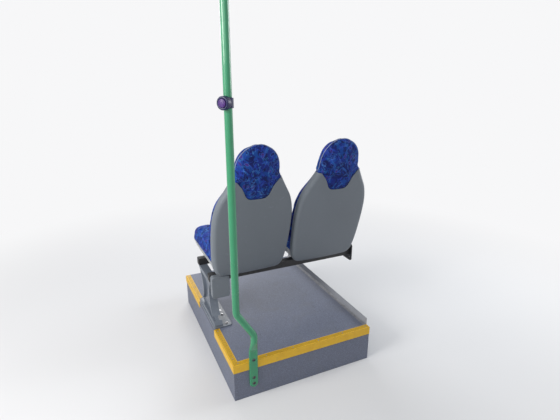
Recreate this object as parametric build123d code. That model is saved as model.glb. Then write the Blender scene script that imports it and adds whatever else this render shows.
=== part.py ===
from build123d import *
import os
from math import cos, radians, sin, tan

# A fixed twin passenger seat of a city bus on the raised floor podium it is bolted to, with the grab
# pole that is screwed to the podium's riser. Millimetres. +X points at the side wall, -X at the aisle,
# +Y to the front of the bus and +Z up. The origin is the centre of the podium's underside.

# Podium
podium_width = 800.0
podium_length = 1050.0
podium_height = 208.0
deck_thickness = 15.0
covering_thickness = 3.0
riser_thickness = 12.0
frame_tube = 40.0
frame_tube_wall = 3.0
bearer_count = 4
rail_count = 3
floor_bolt_radius = 4.5
floor_bolt_end_distance = 105.0
coving_height = 40.0
coving_foot = 22.0
coving_thickness = 3.0

# Yellow nosing on the podium's open edges
nosing_width = 28.0
nosing_drop = 43.0
nosing_thickness = 3.0
nosing_groove_count = 4
nosing_groove_width = 2.4
nosing_groove_depth = 1.0

# Seat pair
seat_count = 2
seat_pitch = 460.0
seat_gap = 24.0
shell_wall = 4.0
shell_rim_depth = 46.0
shell_corner_radius = 34.0
shell_bottom_y = -200.0
shell_bottom_height = 302.0
recline = 15.4
soft_clearance = 0.4
pad_bottom_s = 92.0
pad_front_radius = 20.0
pad_dish = 16.0

# One row for each section of the seat's back, from the bottom up. Columns: distance up the back,
# how far each side stands in from the widest section's, how far the middle of the rear face lies
# forward, how far the rear face's sides curve forward from there, and how far the front of the
# upholstery lies forward.
back_sections = [
    (0.0, 60.0, 22.0, 5.0, 84.0),
    (14.0, 34.0, 9.0, 8.0, 90.0),
    (60.0, 13.0, 2.0, 11.0, 94.0),
    (190.0, 0.0, 0.0, 14.0, 96.0),
    (360.0, 1.0, 0.0, 15.0, 92.0),
    (455.0, 22.0, 1.0, 14.0, 88.0),
    (530.0, 61.0, 2.0, 11.0, 84.0),
    (585.0, 89.0, 3.0, 9.0, 82.0),
    (640.0, 100.0, 4.0, 8.0, 80.0),
    (695.0, 117.0, 7.0, 7.0, 78.0),
    (728.0, 144.0, 15.0, 5.0, 72.0),
    (746.0, 174.0, 26.0, 3.0, 60.0),
]

# Tongue of upholstery that hangs over the shell between its two shoulders. The insets are taken
# from the sides of the back's widest section.
tongue_bottom_s = 479.0
tongue_bottom_inset = 164.0
tongue_bottom_radius = 40.0
tongue_side_s = 541.0
tongue_side_inset = 138.0
tongue_side_radius = 60.0
shoulder_s = 582.0
shoulder_inset = 106.0
shoulder_radius = 16.0
shoulder_fall = 0.12

# Seat pan and cushion. The pan's insets are taken from the sides of the back's widest section.
pan_rear_gap = 6.0
pan_length = 424.0
pan_rear_inset = 20.0
pan_front_inset = 2.0
pan_depth = 46.0
pan_wall = 4.0
pan_taper = 18.0
pan_rear_radius = 30.0
pan_front_radius = 62.0
pan_rise = 75.0
pan_tilt = 4.0
pan_rib_depth = 8.0
pan_rib_width = 4.0
pan_rib_count = 5
pan_rib_end = 64.0
cushion_rise = 62.0
cushion_edge_radius = 22.0
cushion_overhang = 1.5
cushion_rear_gap = 4.0

# Seat stand
beam_height = 40.0
beam_width = 40.0
beam_wall = 3.0
beam_rise = 5.0
rear_beam_y = -118.0
front_beam_y = 118.0
carrier_offset = 112.0
carrier_width = 28.0
carrier_end = 12.0
bracket_offset = 66.0
bracket_width = 34.0
bracket_thickness = 6.0
bracket_reach_s = 84.0
bracket_set_in = 20.0
boss_s = 68.0
boss_radius = 11.0
bracket_lip_gap = 3.0
leg_thickness = 46.0
leg_edge_inset = 5.0
leg_foot_rear_y = -190.0
leg_foot_front_y = 142.0
leg_waist_width = 156.0
leg_waist_height = 120.0
leg_toe = 14.0
leg_pocket_depth = 16.0
leg_pocket_margin = 26.0
foot_plate_width = 104.0
foot_plate_thickness = 8.0
foot_plate_radius = 14.0
foot_bolt_radius = 7.0
foot_bolt_height = 6.0
foot_bolt_inset = 24.0
cover_width = 100.0
cover_height = 128.0
cover_depth = 34.0
cover_wall = 3.0
cover_radius = 14.0
cover_gap = 0.3
wall_plate_thickness = 6.0
wall_plate_overhang = 46.0
wall_plate_height = 110.0
wall_plate_radius = 16.0
wall_bolt_radius = 5.5
wall_bolt_inset = 20.0
wall_gap = 6.0

# Grab pole
pole_radius = 17.0
pole_wall = 2.5
pole_from_edge = 15.0
pole_stand_off = 22.0
ceiling_height = 2250.0
pole_foot_from_edge = 100.0
pole_foot_bottom = 62.0
pole_foot_top = 296.0
pole_foot_width = 44.0
pole_foot_thickness = 12.0
pole_neck_top = 345.0
joggle_bottom = 372.0
joggle_top = 508.0
joggle_radius = 45.0
foot_screw_heights = (84.0, 118.0, 222.0)
foot_screw_radius = 6.0
foot_screw_height = 3.5
flange_radius = 45.0
flange_thickness = 6.0
flange_collar_height = 26.0
flange_collar_wall = 4.0
flange_bolt_circle = 70.0
flange_bolt_count = 3
flange_bolt_radius = 3.3
fit_clearance = 0.3

# Stop button on the pole
button_height = 1450.0
button_turn = 52.0
button_radius = 27.0
button_face_distance = 40.0
button_clamp_wall = 5.0
button_clamp_height = 40.0
button_cap_radius = 17.0
button_cap_rise = 5.0
button_edge = 3.0
button_recess = 3.0

# Places worked out from the sizes above
half_width = podium_width / 2
half_length = podium_length / 2
deck_bottom = podium_height - covering_thickness - deck_thickness
deck_top = deck_bottom + deck_thickness
frame_half_width = half_width - riser_thickness
frame_half_length = half_length - riser_thickness
widest_half = (seat_pitch - seat_gap) / 2
seat_centres = [-half_width + widest_half + i * seat_pitch for i in range(seat_count)]
shell_bottom_z = podium_height + shell_bottom_height
beam_top = shell_bottom_z + beam_rise
beam_bottom = beam_top - beam_height
wall_x = seat_centres[-1] + widest_half + wall_gap
leg_x = -half_width + leg_edge_inset
foot_plate_top = podium_height + foot_plate_thickness
pole_x = -half_width + pole_from_edge
pole_foot_x = -half_width + pole_foot_from_edge
pole_y = -half_length - pole_stand_off
leg_length = leg_foot_front_y - leg_foot_rear_y


def block(x_low, x_high, y_low, y_high, z_low, z_high):
    """Return a square-edged block between two corners."""
    size = (x_high - x_low, y_high - y_low, z_high - z_low)
    return Pos(x_low, y_low, z_low) * Box(*size, align=(Align.MIN, Align.MIN, Align.MIN))


def square_tube(along, length, centre, wall, height, width):
    """Return a rectangular tube of a length along X, Y or Z, centred on a point."""
    outer = Box(length, width, height)
    bore = Box(length, width - 2 * wall, height - 2 * wall)
    turn = {"X": Rot(0, 0, 0), "Y": Rot(0, 0, 90), "Z": Rot(0, 90, 0)}[along]
    return Pos(*centre) * turn * (outer - bore)


def spread(count, low, high):
    """Return evenly spaced values from low to high."""
    return [low + (high - low) * i / (count - 1) for i in range(count)]


def back_point(s, forward):
    """Return Y and Z of a point at a distance up the back and forward of its rear line."""
    lean = radians(recline)
    y = shell_bottom_y - s * sin(lean) + forward * cos(lean)
    z = shell_bottom_z + s * cos(lean) + forward * sin(lean)
    return y, z


def back_plane(centre_x, s=0.0):
    """Return the plane across the back: its X is the bus's, its Y points forward."""
    y, z = back_point(s, 0)
    lean = radians(recline)
    return Plane(origin=(centre_x, y, z), x_dir=(1, 0, 0), z_dir=(0, -sin(lean), cos(lean)))


def rear_plane(centre_x, s=0.0, forward=0.0):
    """Return a plane that looks at the back from behind, at a distance up it and forward."""
    y, z = back_point(s, forward)
    lean = radians(recline)
    return Plane(origin=(centre_x, y, z), x_dir=(1, 0, 0), z_dir=(0, -cos(lean), -sin(lean)))


def back_body(centre_x, inset, front=None):
    """Return the solid lofted through the back's sections, inset from the outer surface."""
    faces = []
    for s, narrower, rear, bow, pad_front in back_sections:
        side = widest_half - narrower - inset
        low = rear + inset
        face_front = pad_front if front is None else front
        hollow = pad_dish * side / widest_half
        outline = [
            ThreePointArc((-side, low + bow), (0, low), (side, low + bow)),
            Line((side, low + bow), (side, face_front)),
            ThreePointArc((side, face_front), (0, face_front - hollow), (-side, face_front)),
            Line((-side, face_front), (-side, low + bow)),
        ]
        face = make_face(outline)
        corner = min(shell_corner_radius, 0.8 * (shell_rim_depth - rear - bow)) - inset
        rear_corners = face.vertices().sort_by(lambda v: v.Y)[:2]
        face = fillet(rear_corners, corner)
        if front is None:
            front_corners = face.vertices().sort_by(lambda v: v.Y)[-2:]
            face = fillet(front_corners, min(pad_front_radius, 0.25 * (pad_front - rear)))
        faces.append(back_plane(centre_x, max(s, inset)) * face)
    return loft(faces, ruled=True)


def tongue_prism(centre_x, inset):
    """Return the prism over the shoulders and the tongue, which parts the shell from the cover."""
    top = 1.1 * back_sections[-1][0]
    reach = 1.1 * widest_half
    shoulder_x = widest_half - shoulder_inset
    right_side = [
        (widest_half - tongue_bottom_inset - inset, tongue_bottom_s + inset),
        (widest_half - tongue_side_inset - inset, tongue_side_s + inset),
        (shoulder_x - inset, shoulder_s + inset),
        (reach, shoulder_s + inset - (reach - shoulder_x) * shoulder_fall),
        (reach, top),
    ]
    left_side = [(-x, s) for x, s in reversed(right_side)]
    face = make_face(Polyline(*right_side, *left_side, close=True))
    radii = [tongue_bottom_radius - inset, tongue_side_radius + inset, shoulder_radius + inset]
    for (x, s), radius in zip(right_side, radii):
        corners = face.vertices().filter_by(lambda v: abs(v.Y - s) < 0.01 and abs(abs(v.X) - x) < 0.01)
        face = fillet(corners, radius)
    return extrude(rear_plane(centre_x) * face, amount=4 * shell_rim_depth, both=True)


def back_shell(centre_x):
    """Moulded shell: rolled rim, closed at the bottom, parted between its shoulders for the tongue."""
    outer = back_body(centre_x, 0, front=shell_rim_depth)
    core = back_body(centre_x, shell_wall, front=shell_rim_depth + pad_front_radius)
    shell = outer - core - tongue_prism(centre_x, 0)
    for x in (-bracket_offset, bracket_offset):
        seat = rear_plane(centre_x + x, boss_s, bracket_set_in)
        shell += extrude(seat * Circle(boss_radius), amount=bracket_set_in - shell_wall / 2)
    return shell


def back_pad(centre_x):
    """Upholstered back: the pad in the shell, the head above it and the tongue over the shell."""
    pad = back_body(centre_x, shell_wall + soft_clearance)
    pad = split(pad, bisect_by=back_plane(centre_x, pad_bottom_s), keep=Keep.TOP)
    head = back_body(centre_x, 0) & tongue_prism(centre_x, soft_clearance)
    return pad + head


def pan_plane(centre_x):
    """Return the plane of the pan's rim: its origin is the middle of the rear edge."""
    rear_y = back_point(pan_rise, shell_rim_depth)[0] + pan_rear_gap
    tilt = radians(pan_tilt)
    origin = (centre_x, rear_y, shell_bottom_z + pan_rise)
    return Plane(origin=origin, x_dir=(1, 0, 0), z_dir=(0, -sin(tilt), cos(tilt)))


def pan_outline(inset, rear_inset=None):
    """Return the pan's rim outline, narrower at the back, with round corners."""
    rear = widest_half - pan_rear_inset - inset
    front = widest_half - pan_front_inset - inset
    low = inset if rear_inset is None else rear_inset
    high = pan_length - inset
    face = make_face(Polyline((-rear, low), (rear, low), (front, high), (-front, high), close=True))
    face = fillet(face.vertices().filter_by(lambda v: v.Y < low + 1), pan_rear_radius - inset)
    return fillet(face.vertices().filter_by(lambda v: v.Y > high - 1), pan_front_radius - inset)


def seat_pan(centre_x):
    """Moulded pan: a tapered tray that the cushion sits in, with ribs under it."""
    tray = extrude(pan_outline(0), amount=-pan_depth, taper=pan_taper)
    hollow = extrude(pan_outline(pan_wall), amount=-(pan_depth - pan_wall), taper=pan_taper)
    pan = tray - hollow
    reach = carrier_offset - carrier_width
    for x in spread(pan_rib_count, -reach, reach):
        pan += block(
            x - pan_rib_width / 2, x + pan_rib_width / 2, pan_rib_end, pan_length - pan_rib_end,
            -pan_depth - pan_rib_depth, -pan_depth,
        )
    return pan_plane(centre_x) * pan


def seat_cushion(centre_x):
    """Upholstered cushion: its base fills the tray and its top stands over the rim."""
    gap = pan_wall + soft_clearance
    base_depth = pan_depth - pan_wall - soft_clearance
    rear_of_pan = pan_plane(centre_x).origin.Y
    pad_front = max(row[4] for row in back_sections)
    rear_inset = back_point(pad_bottom_s, pad_front)[0] - rear_of_pan + cushion_rear_gap
    base = extrude(pan_outline(gap), amount=-base_depth, taper=pan_taper)
    neck = extrude(pan_outline(gap, rear_inset), amount=soft_clearance)
    top = extrude(pan_outline(-cushion_overhang, rear_inset), amount=cushion_rise - soft_clearance)
    top = fillet(top.faces().sort_by(Axis.Z)[-1].edges(), cushion_edge_radius)
    return pan_plane(centre_x) * (base + neck + Pos(0, 0, soft_clearance) * top)


def podium_frame():
    """Square tubes under the deck: long rails on the floor, posts on them and cross bearers on top."""
    half = frame_tube / 2
    rail_x = spread(rail_count, -frame_half_width + half, frame_half_width - half)
    bearer_y = spread(bearer_count, -frame_half_length + half, frame_half_length - half)
    bolt_y = half_length - floor_bolt_end_distance
    rails = []
    for x in rail_x:
        tube = square_tube("Y", 2 * frame_half_length, (x, 0, half), frame_tube_wall, frame_tube, frame_tube)
        if x in (rail_x[0], rail_x[-1]):
            for y in (-bolt_y, bolt_y):
                tube -= Pos(x, y, half) * Cylinder(floor_bolt_radius, 2 * frame_tube)
        rails.append(tube)
    bearers = [
        square_tube(
            "X", 2 * frame_half_width, (0, y, deck_bottom - half), frame_tube_wall, frame_tube, frame_tube
        )
        for y in bearer_y
    ]
    post_length = deck_bottom - 2 * frame_tube
    posts = [
        square_tube("Z", post_length, (x, y, deck_bottom / 2), frame_tube_wall, frame_tube, frame_tube)
        for x in (rail_x[0], rail_x[-1])
        for y in bearer_y
    ]
    return {"podium_rails": rails, "podium_bearers": bearers, "podium_posts": posts}


def podium_panels():
    """Deck board, the four risers under its edges and the vinyl covering with its cut-outs."""
    deck = block(-half_width, half_width, -half_length, half_length, deck_bottom, deck_top)
    rear = block(-half_width, half_width, -half_length, -frame_half_length, 0, deck_bottom)
    front = block(-half_width, half_width, frame_half_length, half_length, 0, deck_bottom)
    aisle = block(-half_width, -frame_half_width, -frame_half_length, frame_half_length, 0, deck_bottom)
    wall = block(frame_half_width, half_width, -frame_half_length, frame_half_length, 0, deck_bottom)
    cover_low_y = -half_length + nosing_width
    covering = block(-half_width, half_width - coving_foot, cover_low_y, half_length, deck_top, podium_height)
    edge = -half_width + nosing_width
    covering -= block(-half_width, edge, cover_low_y, leg_foot_rear_y, deck_top, podium_height)
    covering -= block(-half_width, edge, leg_foot_front_y, half_length, deck_top, podium_height)
    return {
        "podium_deck": [deck],
        "riser_rear": [rear],
        "riser_front": [front],
        "riser_aisle": [aisle],
        "riser_wall": [wall],
        "podium_covering": [covering],
    }


def nosing_bar(length):
    """Return a length of nosing along X from the origin: flat on the deck, lip down the riser."""
    lip = nosing_thickness
    outline = Polyline(
        (nosing_width, deck_top),
        (0, deck_top),
        (0, podium_height - nosing_drop),
        (-lip, podium_height - nosing_drop),
        (-lip, podium_height),
        (nosing_width, podium_height),
        close=True,
    )
    face = make_face(outline)
    outer = face.vertices().filter_by(lambda v: v.X < 0 and v.Y > podium_height - 1)
    face = fillet(outer, nosing_thickness * 0.8)
    bar = extrude(Plane.YZ * face, amount=length)
    pitch = nosing_width / (nosing_groove_count + 1)
    for i in range(nosing_groove_count):
        y = pitch * (i + 1)
        bar -= block(
            -1, length + 1, y - nosing_groove_width / 2, y + nosing_groove_width / 2,
            podium_height - nosing_groove_depth, podium_height + 1,
        )
    return bar


def nosings():
    """Yellow nosings: mitred at the aisle corner, notched for the pole's foot, parted at the leg."""
    corner = (-half_width, -half_length, 0)
    overrun = nosing_thickness
    mitre = Plane(origin=corner, x_dir=(0, 0, 1), z_dir=(1, -1, 0))
    rear = Pos(-half_width - overrun, -half_length, 0) * nosing_bar(podium_width + overrun)
    rear = split(rear, bisect_by=mitre, keep=Keep.TOP)
    notch_half = pole_foot_width / 2 + fit_clearance
    rear -= block(
        pole_foot_x - notch_half, pole_foot_x + notch_half, -half_length - 2 * nosing_thickness,
        -half_length, 0, podium_height + 1,
    )
    aisle_length = leg_foot_rear_y + half_length + overrun
    aisle = Pos(-half_width, leg_foot_rear_y, 0) * Rot(0, 0, -90) * nosing_bar(aisle_length)
    aisle = split(aisle, bisect_by=mitre, keep=Keep.BOTTOM)
    front_length = half_length - leg_foot_front_y
    front = Pos(-half_width, half_length, 0) * Rot(0, 0, -90) * nosing_bar(front_length)
    return {"nosing_rear": [rear], "nosing_aisle_rear": [aisle], "nosing_aisle_front": [front]}


def coving_strip():
    """Upstand between the covering and the side wall, an angle with a rounded inner corner."""
    low = half_width - coving_foot
    outline = Polyline(
        (low, deck_top),
        (half_width, deck_top),
        (half_width, podium_height + coving_height),
        (half_width - coving_thickness, podium_height + coving_height),
        (half_width - coving_thickness, podium_height),
        (low, podium_height),
        close=True,
    )
    face = make_face(outline)
    inner = face.vertices().filter_by(
        lambda v: abs(v.Y - podium_height) < 0.01 and abs(v.X - half_width + coving_thickness) < 0.01
    )
    face = fillet(inner, coving_foot * 0.5)
    bar = extrude(Plane.XZ * face, amount=podium_length - nosing_width)
    return Pos(0, half_length, 0) * bar


def seat_beams():
    """Cross beams under both seats, from the aisle leg to the plate at the wall."""
    length = wall_x - leg_x
    middle = (wall_x + leg_x) / 2
    z = beam_top - beam_height / 2
    rear = square_tube("X", length, (middle, rear_beam_y, z), beam_wall, beam_height, beam_width)
    front = square_tube("X", length, (middle, front_beam_y, z), beam_wall, beam_height, beam_width)
    return {"seat_beam_rear": [rear], "seat_beam_front": [front]}


def wall_plate():
    """Plate at the ends of the beams, with the four holes that bolt it to the side wall."""
    low = rear_beam_y - wall_plate_overhang
    high = front_beam_y + wall_plate_overhang
    middle_y = (low + high) / 2
    middle_z = beam_top - beam_height / 2
    face = RectangleRounded(high - low, wall_plate_height, wall_plate_radius)
    span_y = (high - low) / 2 - wall_bolt_inset
    span_z = wall_plate_height / 2 - wall_bolt_inset
    for y in (-span_y, span_y):
        for z in (-span_z, span_z):
            face -= Pos(y, z) * Circle(wall_bolt_radius)
    return Plane(origin=(wall_x, middle_y, middle_z), x_dir=(0, 1, 0), z_dir=(1, 0, 0)) * extrude(
        face, amount=wall_plate_thickness
    )


def carrier(centre_x):
    """Wedge channels between the beams and one pan, two to a seat."""
    plane = pan_plane(0)
    tilt = radians(pan_tilt)
    y_low = rear_beam_y - beam_width / 2 - carrier_end
    y_high = front_beam_y + beam_width / 2 + carrier_end

    def pan_underside(y):
        along = (y - plane.origin.Y - pan_depth * sin(tilt)) / cos(tilt)
        return plane.origin.Z + along * sin(tilt) - pan_depth * cos(tilt)

    outline = Polyline(
        (y_low, beam_top),
        (y_high, beam_top),
        (y_high, pan_underside(y_high)),
        (y_low, pan_underside(y_low)),
        close=True,
    )
    wedge = make_face(outline)
    solids = []
    for side in (-1, 1):
        x = centre_x + side * carrier_offset - carrier_width / 2
        solids.append(Pos(x, 0, 0) * extrude(Plane.YZ * wedge, amount=carrier_width))
    return solids


def back_brackets(centre_x):
    """Bent straps that stand on the rear beam and run up the inside of one shell."""
    forward = bracket_set_in
    arm_low = back_point(shell_wall, shell_rim_depth)[1] + bracket_lip_gap
    arm_high = arm_low + bracket_thickness
    lean = radians(recline)
    inner_y = back_point(0, forward)[0] - (arm_low - back_point(0, forward)[1]) * tan(lean)
    outer_y = inner_y + bracket_thickness / cos(lean) - bracket_thickness * tan(lean)
    beam_rear = rear_beam_y - beam_width / 2
    beam_front = rear_beam_y + beam_width / 2
    outline = Polyline(
        (beam_front, beam_top),
        (beam_rear, beam_top),
        (beam_rear, arm_low),
        (inner_y, arm_low),
        back_point(bracket_reach_s, forward),
        back_point(bracket_reach_s, forward + bracket_thickness),
        (outer_y, arm_high),
        (beam_rear + bracket_thickness, arm_high),
        (beam_rear + bracket_thickness, beam_top + bracket_thickness),
        (beam_front, beam_top + bracket_thickness),
        close=True,
    )
    strap = make_face(outline)
    solids = []
    for side in (-1, 1):
        x = centre_x + side * bracket_offset - bracket_width / 2
        solids.append(Pos(x, 0, 0) * extrude(Plane.YZ * strap, amount=bracket_width))
    return solids


def aisle_leg():
    """Waisted pedestal under the beams' aisle ends, with a pocket pressed into both sides."""
    top_rear = rear_beam_y - beam_width / 2
    top_front = front_beam_y + beam_width / 2
    waist_z = foot_plate_top + leg_waist_height
    middle = (leg_foot_rear_y + leg_foot_front_y) / 2
    waist_rear = middle - leg_waist_width / 2
    waist_front = middle + leg_waist_width / 2

    def outline_at(inset):
        top = beam_bottom - inset
        low = foot_plate_top + inset
        return make_face([
            Line((top_rear + inset, top), (top_front - inset, top)),
            ThreePointArc(
                (top_front - inset, top), (waist_front - inset, waist_z),
                (leg_foot_front_y - inset, low + leg_toe)
            ),
            Line((leg_foot_front_y - inset, low + leg_toe), (leg_foot_front_y - inset, low)),
            Line((leg_foot_front_y - inset, low), (leg_foot_rear_y + inset, low)),
            Line((leg_foot_rear_y + inset, low), (leg_foot_rear_y + inset, low + leg_toe)),
            ThreePointArc(
                (leg_foot_rear_y + inset, low + leg_toe), (waist_rear + inset, waist_z),
                (top_rear + inset, top)
            ),
        ])

    body = extrude(Plane.YZ * outline_at(0), amount=leg_thickness)
    pocket = extrude(Plane.YZ * outline_at(leg_pocket_margin), amount=leg_pocket_depth)
    body -= Pos(leg_thickness - leg_pocket_depth, 0, 0) * pocket
    body -= pocket
    return Pos(leg_x, 0, 0) * body


def leg_foot():
    """Foot plate that laps the podium's edge, and its four bolt heads."""
    face = RectangleRounded(foot_plate_width, leg_length, foot_plate_radius)
    middle_x = -half_width + foot_plate_width / 2
    middle_y = (leg_foot_rear_y + leg_foot_front_y) / 2
    plate = Pos(middle_x, middle_y, podium_height) * extrude(face, amount=foot_plate_thickness)
    bolts = []
    x = -half_width + foot_plate_width - foot_bolt_inset
    for y in spread(4, leg_foot_rear_y + foot_bolt_inset, leg_foot_front_y - foot_bolt_inset):
        head = extrude(RegularPolygon(foot_bolt_radius, 6), amount=foot_bolt_height)
        bolts.append(Pos(x, y, foot_plate_top) * head)
    return {"leg_foot_plate": [plate], "leg_foot_bolts": bolts}


def leg_cover():
    """Grey cap over the back of the leg's top, a shallow tray that faces the rear."""
    face = RectangleRounded(cover_width, cover_height, cover_radius)
    inner_width = cover_width - 2 * cover_wall
    inner_height = cover_height - 2 * cover_wall
    hollow = RectangleRounded(inner_width, inner_height, cover_radius - cover_wall)
    top_rear = rear_beam_y - beam_width / 2
    x = leg_x + cover_width / 2
    z = beam_top - cover_height / 2
    tray = extrude(face, amount=cover_depth) - extrude(hollow, amount=cover_depth - cover_wall)
    tray = chamfer(tray.faces().sort_by(Axis.Z)[-1].edges(), cover_wall * 0.7)
    plane = Plane(origin=(x, top_rear - cover_gap, z), x_dir=(1, 0, 0), z_dir=(0, -1, 0))
    return plane * tray


def grab_pole():
    """Round tube: straight from the ceiling down to the joggle, then over the foot's place."""
    path = FilletPolyline(
        (pole_foot_x, pole_y, pole_neck_top),
        (pole_foot_x, pole_y, joggle_bottom),
        (pole_x, pole_y, joggle_top),
        (pole_x, pole_y, ceiling_height - flange_thickness),
        radius=joggle_radius,
    )
    start = Plane(origin=(pole_foot_x, pole_y, pole_neck_top), z_dir=(0, 0, 1))
    ring = Circle(pole_radius) - Circle(pole_radius - pole_wall)
    return sweep(start * ring, path=path)


def pole_foot():
    """Flattened end of the pole, screwed flat to the riser, that swells into the round tube."""
    plate_y = -half_length - pole_foot_thickness / 2
    half = pole_foot_width / 2
    round_z = pole_foot_bottom + half
    face = make_face([
        Line((-half, pole_foot_top), (half, pole_foot_top)),
        Line((half, pole_foot_top), (half, round_z)),
        ThreePointArc((half, round_z), (0, pole_foot_bottom), (-half, round_z)),
        Line((-half, round_z), (-half, pole_foot_top)),
    ])
    front = Plane(origin=(pole_foot_x, -half_length, 0), x_dir=(1, 0, 0), z_dir=(0, -1, 0))
    plate = extrude(front * face, amount=pole_foot_thickness)
    low = Plane(origin=(pole_foot_x, plate_y, pole_foot_top)) * Ellipse(half, pole_foot_thickness / 2)
    high = Plane(origin=(pole_foot_x, pole_y, pole_neck_top)) * Ellipse(pole_radius, pole_radius)
    neck = loft([low, high], ruled=True)
    screws = []
    for z in foot_screw_heights:
        head = Plane(origin=(pole_foot_x, -half_length - pole_foot_thickness, z), z_dir=(0, -1, 0)) * extrude(
            Circle(foot_screw_radius), amount=foot_screw_height
        )
        screws.append(head)
    return {"pole_foot": [plate + neck], "pole_foot_screws": screws}


def ceiling_flange():
    """Round flange at the pole's top, a disc with a collar and the ceiling's screw holes."""
    holes = PolarLocations(flange_bolt_circle / 2, flange_bolt_count) * Circle(flange_bolt_radius)
    disc = extrude(Circle(flange_radius) - holes, amount=flange_thickness)
    bore = pole_radius + fit_clearance
    collar = extrude(Circle(bore + flange_collar_wall) - Circle(bore), amount=-flange_collar_height)
    return Pos(pole_x, pole_y, ceiling_height - flange_thickness) * (disc + collar)


def stop_button():
    """Stop button: a clamp round the pole, a round housing on it and a domed cap in its recess."""
    bore = pole_radius + fit_clearance
    clamp = extrude(
        Circle(bore + button_clamp_wall) - Circle(bore), amount=button_clamp_height / 2, both=True
    )
    outward = Plane(origin=(0, 0, 0), x_dir=(1, 0, 0), z_dir=(0, -1, 0))
    housing = extrude(outward * Circle(button_radius), amount=button_face_distance)
    housing = chamfer(housing.faces().sort_by(Axis.Y)[0].edges(), button_edge)
    housing -= Cylinder(bore + button_clamp_wall, 4 * button_radius)
    recess_y = -button_face_distance + button_recess
    recess = Plane(origin=(0, recess_y, 0), x_dir=(1, 0, 0), z_dir=(0, -1, 0))
    housing -= extrude(recess * Circle(button_cap_radius + fit_clearance), amount=2 * button_recess)
    cap = extrude(recess * Circle(button_cap_radius), amount=button_recess + button_cap_rise)
    cap = chamfer(cap.faces().sort_by(Axis.Y)[0].edges(), button_edge)
    place = Pos(pole_x, pole_y, button_height) * Rot(0, 0, -button_turn)
    return {
        "button_clamp": [place * clamp],
        "button_housing": [place * housing],
        "button_cap": [place * cap],
    }


def all_nodes():
    """Return every node's name with its solids."""
    nodes = {}
    nodes.update(podium_frame())
    nodes.update(podium_panels())
    nodes.update(nosings())
    nodes["coving_strip"] = [coving_strip()]
    nodes.update(seat_beams())
    nodes["wall_plate"] = [wall_plate()]
    nodes["aisle_leg"] = [aisle_leg()]
    nodes.update(leg_foot())
    nodes["leg_cover"] = [leg_cover()]
    side_names = ["aisle", "wall"] if seat_count == 2 else [str(i + 1) for i in range(seat_count)]
    for name, centre_x in zip(side_names, seat_centres):
        nodes[f"carrier_{name}"] = carrier(centre_x)
        nodes[f"back_brackets_{name}"] = back_brackets(centre_x)
        nodes[f"back_shell_{name}"] = [back_shell(centre_x)]
        nodes[f"back_pad_{name}"] = [back_pad(centre_x)]
        nodes[f"seat_pan_{name}"] = [seat_pan(centre_x)]
        nodes[f"seat_cushion_{name}"] = [seat_cushion(centre_x)]
    nodes["grab_pole"] = [grab_pole()]
    nodes.update(pole_foot())
    nodes["ceiling_flange"] = [ceiling_flange()]
    nodes.update(stop_button())
    return nodes


os.makedirs("parts", exist_ok=True)
for node_name, solids in all_nodes().items():
    shape = solids[0] if len(solids) == 1 else Compound(children=list(solids))
    export_step(shape, f"parts/{node_name}.step")
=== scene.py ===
from math import atan, cos, pi, radians, sin, tau

import bmesh
import bpy
from mathutils import Matrix, Vector
from mathutils.bvhtree import BVHTree


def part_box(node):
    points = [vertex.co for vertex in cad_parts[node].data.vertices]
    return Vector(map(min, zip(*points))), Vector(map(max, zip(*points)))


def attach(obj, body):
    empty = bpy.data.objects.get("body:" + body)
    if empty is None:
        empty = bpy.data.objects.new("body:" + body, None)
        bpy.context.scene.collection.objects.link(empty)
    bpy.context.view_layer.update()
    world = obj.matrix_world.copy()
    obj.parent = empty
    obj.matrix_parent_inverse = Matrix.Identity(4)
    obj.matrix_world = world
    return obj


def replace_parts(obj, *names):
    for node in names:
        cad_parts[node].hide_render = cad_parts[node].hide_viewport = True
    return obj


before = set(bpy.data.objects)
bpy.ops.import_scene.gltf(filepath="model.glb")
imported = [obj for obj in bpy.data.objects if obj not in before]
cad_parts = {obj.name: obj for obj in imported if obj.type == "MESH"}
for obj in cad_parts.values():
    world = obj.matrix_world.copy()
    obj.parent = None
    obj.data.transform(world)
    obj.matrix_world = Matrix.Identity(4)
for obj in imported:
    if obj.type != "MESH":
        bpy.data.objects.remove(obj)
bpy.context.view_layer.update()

# Podium frame: square steel tubes that carry the deck. Long rails lie on the bus floor, short posts
# stand on them and four bearers run across under the deck. Welded, then painted a matt dark grey.


class Signal:
    """An output of a shader node. Arithmetic on it adds Math nodes to its material."""

    def __init__(self, finish, socket):
        self.finish = finish
        self.socket = socket

    def __add__(self, other):
        return self.finish.math("ADD", self, other)

    def __radd__(self, other):
        return self.finish.math("ADD", other, self)

    def __sub__(self, other):
        return self.finish.math("SUBTRACT", self, other)

    def __rsub__(self, other):
        return self.finish.math("SUBTRACT", other, self)

    def __mul__(self, other):
        return self.finish.math("MULTIPLY", self, other)

    def __rmul__(self, other):
        return self.finish.math("MULTIPLY", other, self)

    def __gt__(self, other):
        return self.finish.math("GREATER_THAN", self, other)

    def __lt__(self, other):
        return self.finish.math("LESS_THAN", self, other)

    def __abs__(self):
        return self.finish.math("ABSOLUTE", self)


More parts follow.
